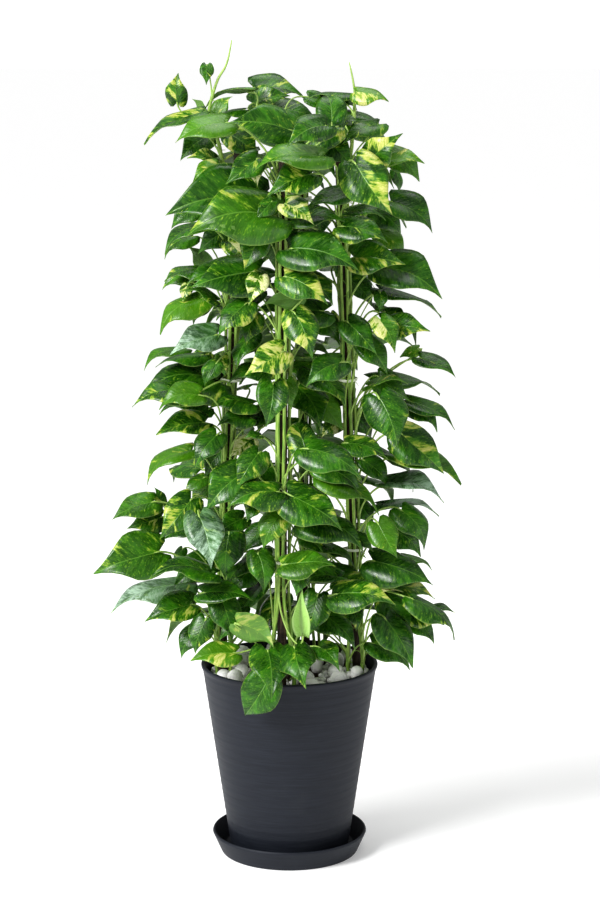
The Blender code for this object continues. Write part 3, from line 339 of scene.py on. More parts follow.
def rod(points, radius):
    """A five-sided tube round a line, as a bare solid for clearance tests."""
    both, faces = [], []
    for i, p in enumerate(points):
        way = (points[min(i + 1, len(points) - 1)] - points[max(i - 1, 0)]).normalized()
        side = way.orthogonal().normalized()
        other = way.cross(side)
        both += [p + (side * math.cos(a) + other * math.sin(a)) * radius
                 for a in (k * 2 * math.pi / 5 for k in range(5))]
        if i:
            o = 5 * i
            for k in range(5):
                m = (k + 1) % 5
                faces += [(o - 5 + k, o - 5 + m, o + m), (o - 5 + k, o + m, o + k)]
    return both, faces


class Space:
    """Solids already standing, tested box against box first."""

    def __init__(self):
        self.solids = []

    @staticmethod
    def solid(points, faces, owner=None):
        array = np.array([tuple(p) for p in points])
        return (array.min(axis=0), array.max(axis=0),
                BVHTree.FromPolygons([tuple(p) for p in points], faces), owner)

    def add(self, *solids):
        self.solids += solids

    def free(self, new, but=None):
        for low, high, tree, owner in self.solids:
            if owner is not None and owner == but:
                continue
            if (new[0] < high).all() and (new[1] > low).all() and new[2].overlap(tree):
                return False
        return True


def stalk_line(node, foot, axes, droop, count=3):
    """A leaf stalk: out and up from the vine, bending over into the blade's foot."""
    along, _, normal = axes
    reach = (foot - node).length
    if droop:
        first = node + Vector((0, -0.006, -0.055))
        last = foot + Vector((0, 0, -0.035))
    else:
        level = Vector((foot.x - node.x, foot.y - node.y, 0))
        first = node + level * 0.22 + Vector((0, 0, reach * 0.42))
        last = foot - along * reach * 0.24 - normal * reach * 0.10
    return bezier(node, first, last, foot, 2 if reach < 0.035 else count)


def try_leaf(space, lines, side, foot, tip, turn, look, droop=False, wide=1.0):
    """The leaf on the first vine and stalk height that leave it clear, or None."""
    axes = frame_of(foot, tip, turn, look)
    length = (tip - foot).length
    bare = leaf_sheet([foot - axes[0] * 0.002, foot], axes, length, wide)
    blade = Space.solid(*slab(*bare, axes[2], CLEAR + BLADE_THICK / 2))
    if not space.free(blade):
        return None
    away = foot - on_pole(side, min(foot.z, POLE_TOP_Z))
    level = Vector((away.x, away.y, 0))
    vines = sorted(range(4), key=lambda n: -level.dot(
        at_height(lines[side, n], foot.z) - on_pole(side, min(foot.z, POLE_TOP_Z))))
    for n in vines[:3]:
        line = lines[side, n]
        for rise in ((-0.5,) if droop else (0.8, 0.5, 1.1, 0.25, 0.0)):
            z = min(foot.z - rise * level.length - 0.006, line[-1].z - 0.004)
            if droop:
                z = foot.z + 0.055
            node = at_height(line, max(z, 0.272))
            stalk = stalk_line(node, foot, axes, droop)
            clear = Space.solid(*rod(stalk, STALK_HALF + CLEAR))
            if space.free(clear, (side, n)):
                return dict(side=side, vine=n, foot=foot, axes=axes, length=length, wide=wide,
                            stalk=stalk, node=node, droop=droop, solids=(blade, clear))
    return None


# Ways to find a leaf its room: width, turn round its rib, and how far it moves (cm).
ROOMS = sorted(((wide, turn, slide) for wide in (1.0, 0.86, 0.72) for turn in (0, 13, -13, 26)
                for slide in (0, 1, -1, 2, -2, 3, -3, 4, -4, 5.5, -5.5, 7)),
               key=lambda r: (1 - r[0]) * 16 + abs(r[1]) * 0.10 + abs(r[2]))


def lay_out(space, lines):
    """Every leaf of the plant: the listed ones, then the inside and the back filled by rule."""
    leaves = []

    def keep(leaf, cream):
        leaf["cream"] = cream
        leaves.append(leaf)
        space.add(*leaf["solids"])

    for side, rows in LEAVES.items():
        for xb, zb, xt, zt, fb, ft, turn, cream in rows:
            for wide, more, slide in ROOMS:
                foot, tip = along_sight(xb, zb, fb + slide), along_sight(xt, zt, ft + slide)
                leaf = try_leaf(space, lines, side, foot, tip, turn + more,
                                (FRONT_EYE - foot).normalized(), wide=wide)
                if leaf:
                    keep(leaf, cream)
                    break
    for xb, zb, xt, zt, fb, ft, turn, cream, wide in ROLLED:
        foot, tip = along_sight(xb, zb, fb), along_sight(xt, zt, ft)
        leaf = try_leaf(space, lines, "front", foot, tip, turn,
                        (FRONT_EYE - foot).normalized(), True, wide)
        if leaf:
            keep(leaf, cream)

    rng = Random(41)
    spots = [(float(z), 6 + 164 * (k + 0.5 + rng.uniform(-0.4, 0.4)) / BACK_EACH,
              rng.uniform(0.70, 1.0), rng.uniform(0.070, 0.100))
             for z in np.linspace(0.33, 1.02, BACK_ROWS) for k in range(BACK_EACH)]
    spots += [(float(z) + rng.uniform(-0.015, 0.015), 360 * (k + rng.random()) / INNER_EACH,
               rng.uniform(0.36, 0.68), rng.uniform(0.055, 0.080))
              for z in np.linspace(0.335, 1.0, INNER_ROWS) for k in range(INNER_EACH)]
    for number, (z, degrees, share, length) in enumerate(spots):
        rng = Random(number)
        out = Vector((math.cos(math.radians(degrees)), math.sin(math.radians(degrees)), 0))
        side = max(POLES, key=lambda s: out.dot(on_pole(s, 0.6)))
        reach = CROWN_REACH * min(1.0, 1.35 - 0.5 * z) * share
        for wide, more, slide in ROOMS[:40]:
            foot = out * (reach - 0.045 + 0.008 * slide) \
                + Vector((0, 0, z + rng.uniform(-0.02, 0.02)))
            tip = foot + (out + Vector((rng.uniform(-0.6, 0.6), rng.uniform(-0.4, 0.4),
                                        rng.uniform(-0.9, -0.2)))).normalized() * length
            leaf = try_leaf(space, lines, side, foot, tip, 35 + more, out, wide=wide)
            if leaf:
                keep(leaf, (0.05, 0.1, 0.2, 0.35)[number % 4])
                break
    return leaves


# ---------------------------------------------------------------- surfaces

def grid_faces(rows, cols, around=False):
    """Quads of a grid of rows x cols points; around joins the last column to the first."""
    r, c = np.meshgrid(np.arange(rows - 1), np.arange(cols if around else cols - 1),
                       indexing="ij")
    here, right = r * cols + c, r * cols + (c + 1) % cols
    return np.stack([here, right, right + cols, here + cols], axis=-1).reshape(-1, 4)


def wobble(points, size, seed):
    """Smooth noise from -1 to 1: sines of three slanted sums of x, y, z, with the seed in each."""
    x, y, z = points[..., 0] / size, points[..., 1] / size, points[..., 2] / size
    return (np.sin(x + 1.7 * y + seed) * np.cos(y - 1.3 * z + 2.1 * seed)
            + 0.6 * np.sin(2.3 * z + 1.9 * x + 3.3 * seed) * np.cos(2.7 * y + seed)
            + 0.4 * np.sin(4.1 * x - 3.7 * y + 4.3 * z + 5.1 * seed)) / 1.6


def turned(profile, steps):
    """Surface of revolution: (r(t) cos a, r(t) sin a, z(t)); both ends of the profile meet the
    axis, where each closes in a fan. The profile runs down the outside."""
    profile = np.array(profile, dtype=float)
    angle = np.linspace(0, 2 * np.pi, steps, endpoint=False)
    rings = profile[1:-1]
    points = np.stack([rings[:, :1] * np.cos(angle), rings[:, :1] * np.sin(angle),
                       np.repeat(rings[:, 1:], steps, axis=1)], axis=-1).reshape(-1, 3)
    count = len(rings)
    ends = np.array([[0, 0, profile[0, 1]], [0, 0, profile[-1, 1]]])
    top, bottom = count * steps, count * steps + 1
    here, after = np.arange(steps), (np.arange(steps) + 1) % steps
    first = np.stack([np.full(steps, top), here, after], axis=-1)
    last = np.stack([np.full(steps, bottom), (count - 1) * steps + after,
                     (count - 1) * steps + here], axis=-1)
    quads = grid_faces(count, steps, around=True)[:, ::-1]
    return np.vstack([points, ends]), quads.tolist() + first.tolist() + last.tolist()


def smooth_profile(corners, per=6):
    """Catmull-Rom curve through the corners, per points to each stretch."""
    p = np.array(corners, dtype=float)
    p = np.vstack([2 * p[0] - p[1], p, 2 * p[-1] - p[-2]])
    t = np.linspace(0, 1, per, endpoint=False)[:, None]
    parts = [0.5 * (2 * b + (c - a) * t + (2 * a - 5 * b + 4 * c - d) * t ** 2
                    + (3 * b - a - 3 * c + d) * t ** 3)
             for a, b, c, d in zip(p[:-3], p[1:-2], p[2:-1], p[3:])]
    return np.vstack(parts + [p[-2:-1]])


def tube(line, radii, sides, reference):
    """Tube round a line: c(t) + r(t)(side cos a + other sin a), where side is square to the
    line and to the reference direction. Both ends are closed."""
    line = np.asarray(line, dtype=float)
    way = np.gradient(line, axis=0)
    way /= np.linalg.norm(way, axis=1, keepdims=True)
    side = np.cross(way, np.asarray(reference, dtype=float))
    side /= np.linalg.norm(side, axis=1, keepdims=True)
    other = np.cross(way, side)
    angle = np.linspace(0, 2 * np.pi, sides, endpoint=False)
    radii = np.broadcast_to(np.asarray(radii, dtype=float).reshape(len(line), -1),
                            (len(line), sides))
    ring = (line[:, None] + radii[..., None] * (side[:, None] * np.cos(angle)[None, :, None]
                                                + other[:, None] * np.sin(angle)[None, :, None]))
    faces = grid_faces(len(line), sides, around=True).tolist()
    faces.append(list(range(sides))[::-1])
    faces.append([(len(line) - 1) * sides + k for k in range(sides)])
    return ring.reshape(-1, 3), faces


def cut_out(piece, heap):
    """Takes the heap's solids away from the piece."""
    mesh = bpy.data.meshes.new("drills")
    mesh.from_pydata(np.vstack(heap.points).tolist(), [], heap.faces)
    drill = bpy.data.objects.new("drills", mesh)
    bpy.context.scene.collection.objects.link(drill)
    cut = piece.modifiers.new("Cut", "BOOLEAN")
    cut.object, cut.operation, cut.solver = drill, "DIFFERENCE", "MANIFOLD"
    graph = bpy.context.evaluated_depsgraph_get()
    done = bpy.data.meshes.new_from_object(piece.evaluated_get(graph))
    piece.modifiers.clear()
    piece.data = done
    bpy.data.objects.remove(drill)


class Heap:
    """Several surfaces gathered into one piece."""

    def __init__(self):
        self.points, self.faces, self.index, self.marks = [], [], [], {}
        self.count = 0

    def add(self, points, faces, material=0, **marks):
        self.points.append(points)
        self.faces += [[i + self.count for i in face] for face in faces]
        self.index += [material] * len(faces) if isinstance(material, int) else list(material)
        for key, value in marks.items():
            values = np.broadcast_to(np.asarray(value, dtype=float), (len(points), 3))
            self.marks.setdefault(key, []).append(values)
        self.count += len(points)

    def put(self, name, materials, slot, replaced=()):
        """Makes the smooth piece and rides it on the root body, for the nodes it replaces."""
        mesh = bpy.data.meshes.new(name)
        mesh.from_pydata(np.vstack(self.points).tolist(), [], self.faces)
        for mat in materials:
            mesh.materials.append(mat)
        mesh.polygons.foreach_set("material_index", np.array(self.index, dtype=np.int32))
        mesh.polygons.foreach_set("use_smooth", np.ones(len(mesh.polygons), dtype=bool))
        for key, values in self.marks.items():
            field = mesh.attributes.new(key, "FLOAT_VECTOR", "POINT")
            field.data.foreach_set("vector", np.vstack(values).astype(np.float32).ravel())
        mesh.update()
        obj = bpy.data.objects.new(name, mesh)
        bpy.context.scene.collection.objects.link(obj)
        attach(obj, "root")
        if replaced:
            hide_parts(*replaced)
        return obj


LEAF_ROWS, LEAF_COLS = 11, 7
BLADE_REAL = 0.0006                         # a real blade is thinner than the part's
# The second mark is for a leaf with a painted silvery sheen: a painted reflection in its colour.
ROLLED_AGE, PAINTED_SHEEN_AGE = 1.5, -1.0          # marks of the rolled leaf and of a silvery one


def blade(leaf, rng):
    """A heart-shaped blade, closed, as a sheet over (u, s): u from foot to tip, s from edge to
    edge. Half width w(u) = 0.385 sin(pi (0.27 + 0.73 u^0.92)), drawn in over the last part by
    1 - 0.64 ((u - 0.48) / 0.52)^1.1; the lobes reach back by 0.16 exp(-(u / 0.17)^2)
    sin(0.85 pi |s|). The height is an arch k u (1 - u), plus halves that rise from the rib and
    curl down again at the edge, a wave along the edge and a droop of the tip; the whole sheet
    is twisted a little round its rib. A leaf still rolled up has no lobes, is blunt and only
    folds steeply."""
    u = np.linspace(0, 1, LEAF_ROWS)[:, None] ** 1.10
    s = np.sin(np.linspace(-1, 1, LEAF_COLS) * np.pi / 2)[None, :]
    s = 0.45 * s + 0.55 * np.linspace(-1, 1, LEAF_COLS)[None, :]
    side = np.abs(s)
    half = 0.385 * np.sin(np.pi * (0.27 + 0.73 * u ** 0.92))
    half = half * (1 - 0.64 * np.clip((u - 0.48) / 0.52, 0, 1) ** 1.1) + 0.003
    half = half * leaf["wide"] * rng.uniform(0.92, 1.05)
    across = s * half
    back = 0.16 * np.exp(-(u / 0.17) ** 2) * np.sin(0.85 * np.pi * side)
    fold, curl = rng.uniform(0.30, 0.66), rng.uniform(1.0, 2.1)
    if leaf["droop"]:
        fold, curl, back = 1.5, 0.0, 0.0
        across = across * (1.15 + 0.5 * u)
    along = np.broadcast_to(u, across.shape) - back
    lift = rng.uniform(0.22, 0.72) * u * (1 - u) + fold * np.abs(across) - curl * across ** 2
    lift = lift + rng.uniform(0.006, 0.020) * side ** 2 * np.sin(
        2 * np.pi * rng.uniform(0.9, 1.9) * u + rng.uniform(0, 6.3) + 1.4 * np.sign(s))
    lift = lift - rng.uniform(0.0, 0.16) * np.clip((u - 0.58) / 0.42, 0, 1) ** 2
    lift = lift - rng.uniform(0.0, 0.05) * np.exp(-(u / 0.2) ** 2) * side ** 2
    twist = rng.uniform(-0.30, 0.30) * u
    bend = rng.uniform(-0.06, 0.06) * u * (1 - u) * 4
    flat = across * np.cos(twist) - lift * np.sin(twist) * 0.3 + bend
    high = lift + across * np.sin(twist)
    a, b, n = (np.array(v) for v in leaf["axes"])
    foot, length = np.array(leaf["foot"]), leaf["length"]
    top = foot + length * (along[..., None] * a + flat[..., None] * b + high[..., None] * n)
    top = top.reshape(-1, 3)
    under = top - n * BLADE_REAL
    total = LEAF_ROWS * LEAF_COLS
    quads = grid_faces(LEAF_ROWS, LEAF_COLS)
    rows, cols = np.arange(LEAF_ROWS), np.arange(LEAF_COLS)
    ring = np.concatenate([cols, rows[1:] * LEAF_COLS + LEAF_COLS - 1,
                           (LEAF_ROWS - 1) * LEAF_COLS + cols[-2::-1],
                           rows[-2:0:-1] * LEAF_COLS])
    after = np.roll(ring, -1)
    rim = np.stack([after, ring, ring + total, after + total], axis=-1)
    faces = quads.tolist() + (quads[:, ::-1] + total).tolist() + rim.tolist()
    index = [0] * len(quads) + [1] * len(quads) + [0] * len(rim)
    seed, age = rng.random(), rng.random() * min(1.0, 0.72 + 0.8 * leaf["cream"])
    if leaf["droop"]:
        age = ROLLED_AGE
    # A leaf listed with -1 gets the mark of a painted silvery sheen.
    elif leaf["cream"] < 0:
        age = PAINTED_SHEEN_AGE
    place = np.stack([np.broadcast_to(across, along.shape), along,
                      np.full(along.shape, seed)], axis=-1).reshape(-1, 3)
    mark = np.stack([np.full(along.shape, max(leaf["cream"], 0.1)), np.full(along.shape, age),
                     np.broadcast_to(side, along.shape)], axis=-1).reshape(-1, 3)
    return (np.vstack([top, under]), faces, index, np.vstack([place, place]),
            np.vstack([mark, mark]))


def stalk(leaf):
    """A leaf stalk: a tube on the curve of the part's strap, thick at the vine, waisted, and
    swollen again at the blade's foot; it ends under the rib."""
    axes = leaf["axes"]
    line = stalk_line(leaf["node"], leaf["foot"], axes, leaf["droop"], 10)
    line += [leaf["foot"] + axes[0] * d * leaf["length"] + axes[2] * (
        leaf["length"] * 0.24 * d * (1 - d) - 0.0007) for d in (0.05, 0.12)]
    t = np.linspace(0, 1, len(line))
    size = min(1.0, 0.55 + leaf["length"] * 6)
    radii = size * (0.00135 + 0.0012 * np.exp(-(t / 0.09) ** 2)
                    + 0.0005 * np.exp(-((t - 0.84) / 0.05) ** 2)) * np.where(t > 0.97, 0.3, 1)
    chord = leaf["foot"] - leaf["node"]
    reference = chord.cross(Vector((0, 0, 1)))
    if reference.length < 0.005:
        reference = axes[1]
    return tube(line, radii, 6, reference.normalized())


def stem(line, nodes, rng):
    """A vine's stem: a smooth curve through the part's line, ringed and thickened at the nodes
    by exp(-((z - node) / 3 mm)^2), tapering over its last hand's breadth."""
    curve = smooth_profile([tuple(p) for p in line], 10)
    z = curve[:, 2]
    curve[:, 0] += 0.0004 * np.sin(z * 61 + rng.uniform(0, 6))
    curve[:, 1] += 0.0004 * np.sin(z * 53 + rng.uniform(0, 6))
    swell = np.zeros(len(z))
    for node in nodes:
        swell = np.maximum(swell, np.exp(-((z - node) / 0.003) ** 2))
    end = np.clip((z[-1] - z) / 0.10, 0.0, 1.0)
    radii = VINE_R * (0.92 + 0.26 * swell) * (0.30 + 0.70 * end ** 0.6)
    return tube(curve, radii, 9, (1, 0.2, 0))


def root(start, out, length, rng):
    """A short air root feeling for the pole: a thin tapering tube on a bent line."""
    t = np.linspace(0, 1, 5)[:, None]
    sag = np.array([rng.uniform(-0.3, 0.3), rng.uniform(-0.3, 0.3), rng.uniform(-0.8, 0.3)])
    line = np.array(start) + length * (t * np.array(out) + t ** 2 * sag)
    return tube(line, np.linspace(0.0008, 0.0003, 5), 5, (0.1, 0.1, 1))


# ---------------------------------------------------------------- finishes

class Finish:
    """A node material with short ways to add its nodes."""

    def __init__(self, name, **inputs):
        self.mat = bpy.data.materials.new(name)
        self.mat.use_nodes = True
        self.tree = self.mat.node_tree
        self.shader = self.tree.nodes["Principled BSDF"]
        for key, value in inputs.items():
            self.shader.inputs[key.replace("_", " ").title().replace("Ior", "IOR")
                               ].default_value = value
        coords = self.tree.nodes.new("ShaderNodeTexCoord")
        self.place = coords.outputs["Object"]

    def add(self, kind, values=None, **settings):
        node = self.tree.nodes.new("ShaderNode" + kind)
        for key, value in settings.items():
            setattr(node, key, value)
        for key, value in (values or {}).items():
            if isinstance(value, bpy.types.NodeSocket):
                self.tree.links.new(value, node.inputs[key])
            else:
                node.inputs[key].default_value = value
        return node

    def math(self, operation, *values):
        return self.add("Math", dict(enumerate(values)), operation=operation).outputs[0]

    def field(self, name):
        parts = self.add("SeparateXYZ", {0: self.add(
            "Attribute", attribute_name=name).outputs["Vector"]})
        return [parts.outputs[i] for i in range(3)]

    def vector(self, *values):
        return self.add("CombineXYZ", dict(enumerate(values))).outputs[0]

    def stretch(self, *scale):
        return self.add("Mapping", {"Vector": self.place, "Scale": scale}).outputs[0]

    def noise(self, where, scale, detail=3.0, rough=0.55):
        return self.add("TexNoise", {"Vector": where, "Scale": scale, "Detail": detail,
                                     "Roughness": rough}).outputs["Fac"]

    def cells(self, where, scale):
        return self.add("TexVoronoi", {"Vector": where, "Scale": scale}).outputs["Distance"]

    def step(self, value, low, high, bottom=0.0, top=1.0):
        return self.add("MapRange", {"Value": value, "From Min": low, "From Max": high,
                                     "To Min": bottom, "To Max": top},
                        interpolation_type="SMOOTHSTEP").outputs[0]

    def ramp(self, value, *stops):
        node = self.add("ValToRGB", {0: value})
        while len(node.color_ramp.elements) < len(stops):
            node.color_ramp.elements.new(0.5)
        for element, (at, colour) in zip(node.color_ramp.elements, stops):
            element.position, element.color = at, (*colour, 1)
        return node.outputs[0]

    def mix(self, share, a, b):
        def sized(v):
            return (*v, 1) if isinstance(v, tuple) and len(v) == 3 else v
        return self.add("Mix", {0: share, 6: sized(a), 7: sized(b)}, data_type="RGBA").outputs[2]

    def finish(self, colour=None, rough=None, height=None, strength=0.5, distance=0.001):
        links = self.tree.links
        if colour is not None:
            links.new(colour, self.shader.inputs["Base Color"])
        if rough is not None:
            links.new(rough, self.shader.inputs["Roughness"])
        if height is not None:
            bump = self.add("Bump", {"Height": height, "Strength": strength,
                                     "Distance": distance})
            links.new(bump.outputs[0], self.shader.inputs["Normal"])
        return self.mat


def leaf_finish(under):
    """Waxy green splashed with gold. The splashes and flecks are drawn out along the side
    veins: those follow v = along - 1.05 |across| + 0.9 across^2, the same all along one vein.
    Each half of a leaf has its own share of gold, and there is more of it towards the edge."""
    f = Finish("leaf_underside" if under else "leaf_upper", specular_ior_level=0.42)
    across, along, seed = f.field("place")
    cream, age, edge = f.field("mark")
    off = f.math("ABSOLUTE", across)
    vein = f.math("ADD", f.math("MULTIPLY_ADD", off, -1.05, along),
                  f.math("MULTIPLY", f.math("MULTIPLY", off, off), 0.9))
    half = f.math("MULTIPLY", f.math("SIGN", across), 7.3)
    shift = f.math("MULTIPLY", seed, 91.0)

    def drawn_out(vein_scale, off_scale, detail=3.0, rough=0.6):
        return f.noise(f.vector(f.math("MULTIPLY_ADD", vein, vein_scale, shift),
                                f.math("MULTIPLY_ADD", off, off_scale, shift), half),
                       1.0, detail, rough)

    broad = drawn_out(4.4, 2.4, 2.0)
    ragged = drawn_out(21.0, 10.0, 4.0, 0.70)
    fleck = drawn_out(58.0, 24.0, 3.0, 0.62)
    cloud = drawn_out(2.6, 1.3, 2.0)
    patch = drawn_out(8.0, 5.0, 3.0)
    own = f.noise(f.vector(shift, half, 5.0), 1.0, 0.0)

    level = f.math("MULTIPLY_ADD", cream, -0.34, 0.79)
    level = f.math("MULTIPLY_ADD", f.math("SUBTRACT", own, 0.5), -0.42, level)
    level = f.math("MULTIPLY_ADD", edge, -0.05, level)
    broad = f.math("MULTIPLY_ADD", f.math("SUBTRACT", ragged, 0.5), 0.50, broad)
    above = f.math("SUBTRACT", broad, level)
    splash = f.step(above, -0.075, 0.15)
    flecked = f.step(f.math("ADD", patch, f.math("MULTIPLY", cream, 0.10)), 0.42, 0.62)
    flecks = f.math("MULTIPLY", flecked, f.step(fleck, 0.54, 0.68))
    dots = f.step(f.math("MULTIPLY_ADD", cream, 0.04, fleck), 0.65, 0.73, 0.0, 0.62)

    green = f.mix(f.step(cloud, 0.32, 0.70), (0.0070, 0.048, 0.0018), (0.0360, 0.165, 0.0040))
    green = f.mix(f.step(patch, 0.38, 0.60, 0.50, 0.0), green, (0.0045, 0.034, 0.0014))
    green = f.mix(f.step(age, 0.60, 1.0, 0.0, 0.50), green, (0.105, 0.290, 0.008))
    green = f.mix(f.step(ragged, 0.50, 0.70, 0.0, 0.50), green, (0.070, 0.205, 0.008))
    green = f.mix(f.math("MULTIPLY", flecks, 0.72), green, (0.190, 0.400, 0.020))
    mark = f.math("MAXIMUM", splash, dots)
    pale = f.ramp(mark, (0.0, (0.062, 0.190, 0.009)), (0.36, (0.18, 0.33, 0.022)),
                  (0.68, (0.37, 0.43, 0.065)), (1.0, (0.62, 0.59, 0.20)))
    pale = f.mix(f.math("MULTIPLY", f.step(cream, 0.45, 0.95), f.step(mark, 0.5, 1.0)), pale,
                 (0.80, 0.78, 0.50))
    colour = f.mix(f.step(mark, 0.0, 0.45), green, pale)
    colour = f.mix(f.math("MULTIPLY", f.step(mark, 0.4, 0.9), f.step(fleck, 0.50, 0.60, 0.55,
                                                                      0.0)),
                   colour, (0.30, 0.40, 0.050))
    rib = f.step(off, 0.003, 0.013, 1.0, 0.0)
    sway = f.math("ABSOLUTE", f.math("SUBTRACT", f.math("FRACT", f.math(
        "MULTIPLY", vein, 11.0)), 0.5))
    lines = f.step(sway, 0.0, 0.09, 1.0, 0.0)
    colour = f.mix(f.math("MULTIPLY", f.math("MAXIMUM", f.math("MULTIPLY", lines, 0.20), rib),
                          0.50), colour, (0.15, 0.33, 0.040))
    colour = f.mix(f.step(edge, 0.955, 1.0, 0.0, 0.30), colour, (0.36, 0.50, 0.12))
    colour = f.mix(f.step(age, 1.1, 1.4, 0.0, 0.85), colour, (0.40, 0.62, 0.20))
    # Painted sheen: on a leaf listed with -1, pale silvery patches that grow towards the tip are a
    # painted reflection of the light, not the leaf's own colour.
    sheen_pattern = f.math("MULTIPLY_ADD", fleck, 0.40, f.math("MULTIPLY", patch, 0.60))
    painted_sheen = f.math("MULTIPLY", f.step(age, -0.8, -0.3, 1.0, 0.0),
                   f.step(sheen_pattern, 0.40, 0.62, 0.10, 0.85))
    painted_sheen = f.math("MULTIPLY", painted_sheen, f.step(along, 0.0, 0.80, 0.25, 1.0))
    colour = f.mix(painted_sheen, colour, (0.47, 0.63, 0.50))
    quilt = f.math("ADD", f.math("MULTIPLY", f.step(sway, 0.0, 0.5), 0.20),
                   f.math("MULTIPLY_ADD", ragged, 0.50, f.math("MULTIPLY", fleck, 0.22)))
    height = f.math("SUBTRACT", quilt, f.math("MULTIPLY", rib, 0.9))
    if under:
        colour = f.mix(0.50, colour, (0.140, 0.260, 0.060))
        return f.finish(colour, f.step(cloud, 0.3, 0.7, 0.42, 0.56),
                        f.math("MULTIPLY", height, -1.0), 0.40, 0.0012)
    wax = f.math("MULTIPLY_ADD", f.step(patch, 0.35, 0.65), 0.10, f.step(ragged, 0.35, 0.65,
                                                                         0.20, 0.32))
    return f.finish(colour, wax, height, 0.30, 0.0012)


def stem_finish():
    """Green stem skin: streaks along the stem, lighter where young, and brown flecks."""
    f = Finish("stem_skin")
    young, _, _ = f.field("mark")
    streak = f.noise(f.stretch(900, 900, 40), 1.0, 3.0)
    blotch = f.noise(f.place, 55.0, 3.0)
    green = f.mix(f.step(streak, 0.35, 0.65), (0.120, 0.270, 0.028), (0.350, 0.500, 0.105))
    green = f.mix(f.math("MULTIPLY", young, 0.70), green, (0.40, 0.57, 0.15))
    brown = f.step(f.noise(f.stretch(500, 500, 180), 1.0, 4.0), 0.66, 0.74, 0.0, 0.6)
    colour = f.mix(f.math("MULTIPLY", brown, f.math("SUBTRACT", 1.0, young)), green,
                   (0.110, 0.070, 0.028))
    colour = f.mix(f.step(blotch, 0.5, 0.75, 0.0, 0.5), colour, (0.085, 0.210, 0.024))
    return f.finish(colour, f.step(streak, 0.3, 0.7, 0.36, 0.52), streak, 0.35, 0.0006)


def pole_finish():
    """Dark tree-fern fibre: matted strands along the pole with deep gaps between them."""
    f = Finish("pole_fibre_rough")
    strand = f.noise(f.stretch(620, 620, 34), 1.0, 5.0, 0.7)
    knot = f.noise(f.stretch(150, 150, 70), 1.0, 3.0)
    colour = f.ramp(f.math("MULTIPLY_ADD", knot, 0.45, f.math("MULTIPLY", strand, 0.6)),
                    (0.36, (0.006, 0.004, 0.003)), (0.52, (0.030, 0.018, 0.010)),
                    (0.66, (0.095, 0.058, 0.030)), (0.78, (0.180, 0.125, 0.070)))
    high = f.add("SeparateXYZ", {0: f.place}).outputs[2]
    colour = f.mix(f.step(high, POLE_TOP_Z - 0.0012, POLE_TOP_Z - 0.0006, 0.0, 0.8), colour,
                   (0.30, 0.29, 0.27))
    return f.finish(colour, f.step(strand, 0.3, 0.7, 0.95, 0.75), strand, 1.0, 0.002)


def pot_finish(name):
    """Charcoal with fine thrown lines: level streaks that waver a little round the pot."""
    f = Finish(name, specular_ior_level=0.28)
    sway = f.noise(f.stretch(9, 9, 3), 1.0, 2.0)
    level = f.add("SeparateXYZ", {0: f.place}).outputs[2]
    line_at = f.math("MULTIPLY_ADD", sway, 0.006, level)
    rings = f.noise(f.vector(f.math("MULTIPLY", line_at, 900.0), sway, 0.0), 1.0, 4.0, 0.7)
    strokes = f.noise(f.stretch(26, 26, 640), 1.0, 4.0, 0.62)
    lines = f.math("MULTIPLY_ADD", rings, 0.40, f.math("MULTIPLY", strokes, 0.60))
    broad = f.noise(f.vector(f.math("MULTIPLY", line_at, 130.0), sway, 4.0), 1.0, 2.0)
    grain = f.noise(f.place, 1400.0, 2.0)
    dust = f.noise(f.place, 16.0, 4.0)
    colour = f.mix(f.step(lines, 0.30, 0.72), (0.0096, 0.0118, 0.0175), (0.0200, 0.0236, 0.0330))
    colour = f.mix(f.step(dust, 0.50, 0.80, 0.0, 0.20), colour, (0.042, 0.046, 0.053))
    height = f.math("ADD", f.math("MULTIPLY", lines, 0.6), f.math("MULTIPLY_ADD", grain, 0.12,
                                                                 broad))
    return f.finish(colour, f.step(lines, 0.3, 0.7, 0.46, 0.60), height, 0.34, 0.0006)


def pebble_finish():
    """Tumbled white marble: faint grey veins and clouds, slightly waxy."""
    f = Finish("pebble_marble_white")
    bend = f.noise(f.place, 45.0, 4.0)
    vein = f.math("ABSOLUTE", f.math("SUBTRACT", f.noise(f.place, 28.0, 5.0, 0.62), 0.5))
    colour = f.mix(f.step(bend, 0.35, 0.75), (0.90, 0.89, 0.87), (0.80, 0.79, 0.77))
    colour = f.mix(f.step(vein, 0.0, 0.035, 0.35, 0.0), colour, (0.42, 0.42, 0.43))
    return f.finish(colour, f.step(bend, 0.3, 0.7, 0.34, 0.52), f.noise(f.place, 320.0, 3.0),
                    0.25, 0.0006)


def soil_finish():
    """Moist compost: crumbs of dark earth with a few light grains."""
    f = Finish("soil_crumbs_dark")
    crumb = f.cells(f.place, 260.0)
    tone = f.noise(f.place, 90.0, 5.0, 0.7)
    colour = f.ramp(tone, (0.30, (0.010, 0.006, 0.004)), (0.52, (0.040, 0.025, 0.015)),
                    (0.72, (0.110, 0.074, 0.045)))
    height = f.math("MULTIPLY_ADD", crumb, -0.7, tone)
    return f.finish(colour, f.step(tone, 0.3, 0.7, 0.98, 0.82), height, 1.0, 0.003)


def tie_finish():
    """Thin garden tie, pale and slightly see-through looking, with a woven-in rib."""
    f = Finish("tie_band_pale")
    grain = f.noise(f.stretch(300, 300, 1400), 1.0, 3.0)
    colour = f.mix(f.step(grain, 0.3, 0.7), (0.66, 0.72, 0.52), (0.84, 0.87, 0.74))
    return f.finish(colour, f.step(grain, 0.3, 0.7, 0.40, 0.55), grain, 0.4, 0.0005)


LEAF_UPPER, LEAF_UNDER, STEM_SKIN = leaf_finish(False), leaf_finish(True), stem_finish()
POLE, POT = pole_finish(), pot_finish("pot_thrown_charcoal")
SAUCER, PEBBLE = pot_finish("saucer_thrown_charcoal"), pebble_finish()
SOIL, TIE = soil_finish(), tie_finish()


# ---------------------------------------------------------------- the planting

def cad_solid(name):
    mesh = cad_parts[name].data
    return Space.solid([v.co.copy() for v in mesh.vertices],
                       [tuple(p.vertices) for p in mesh.polygons])


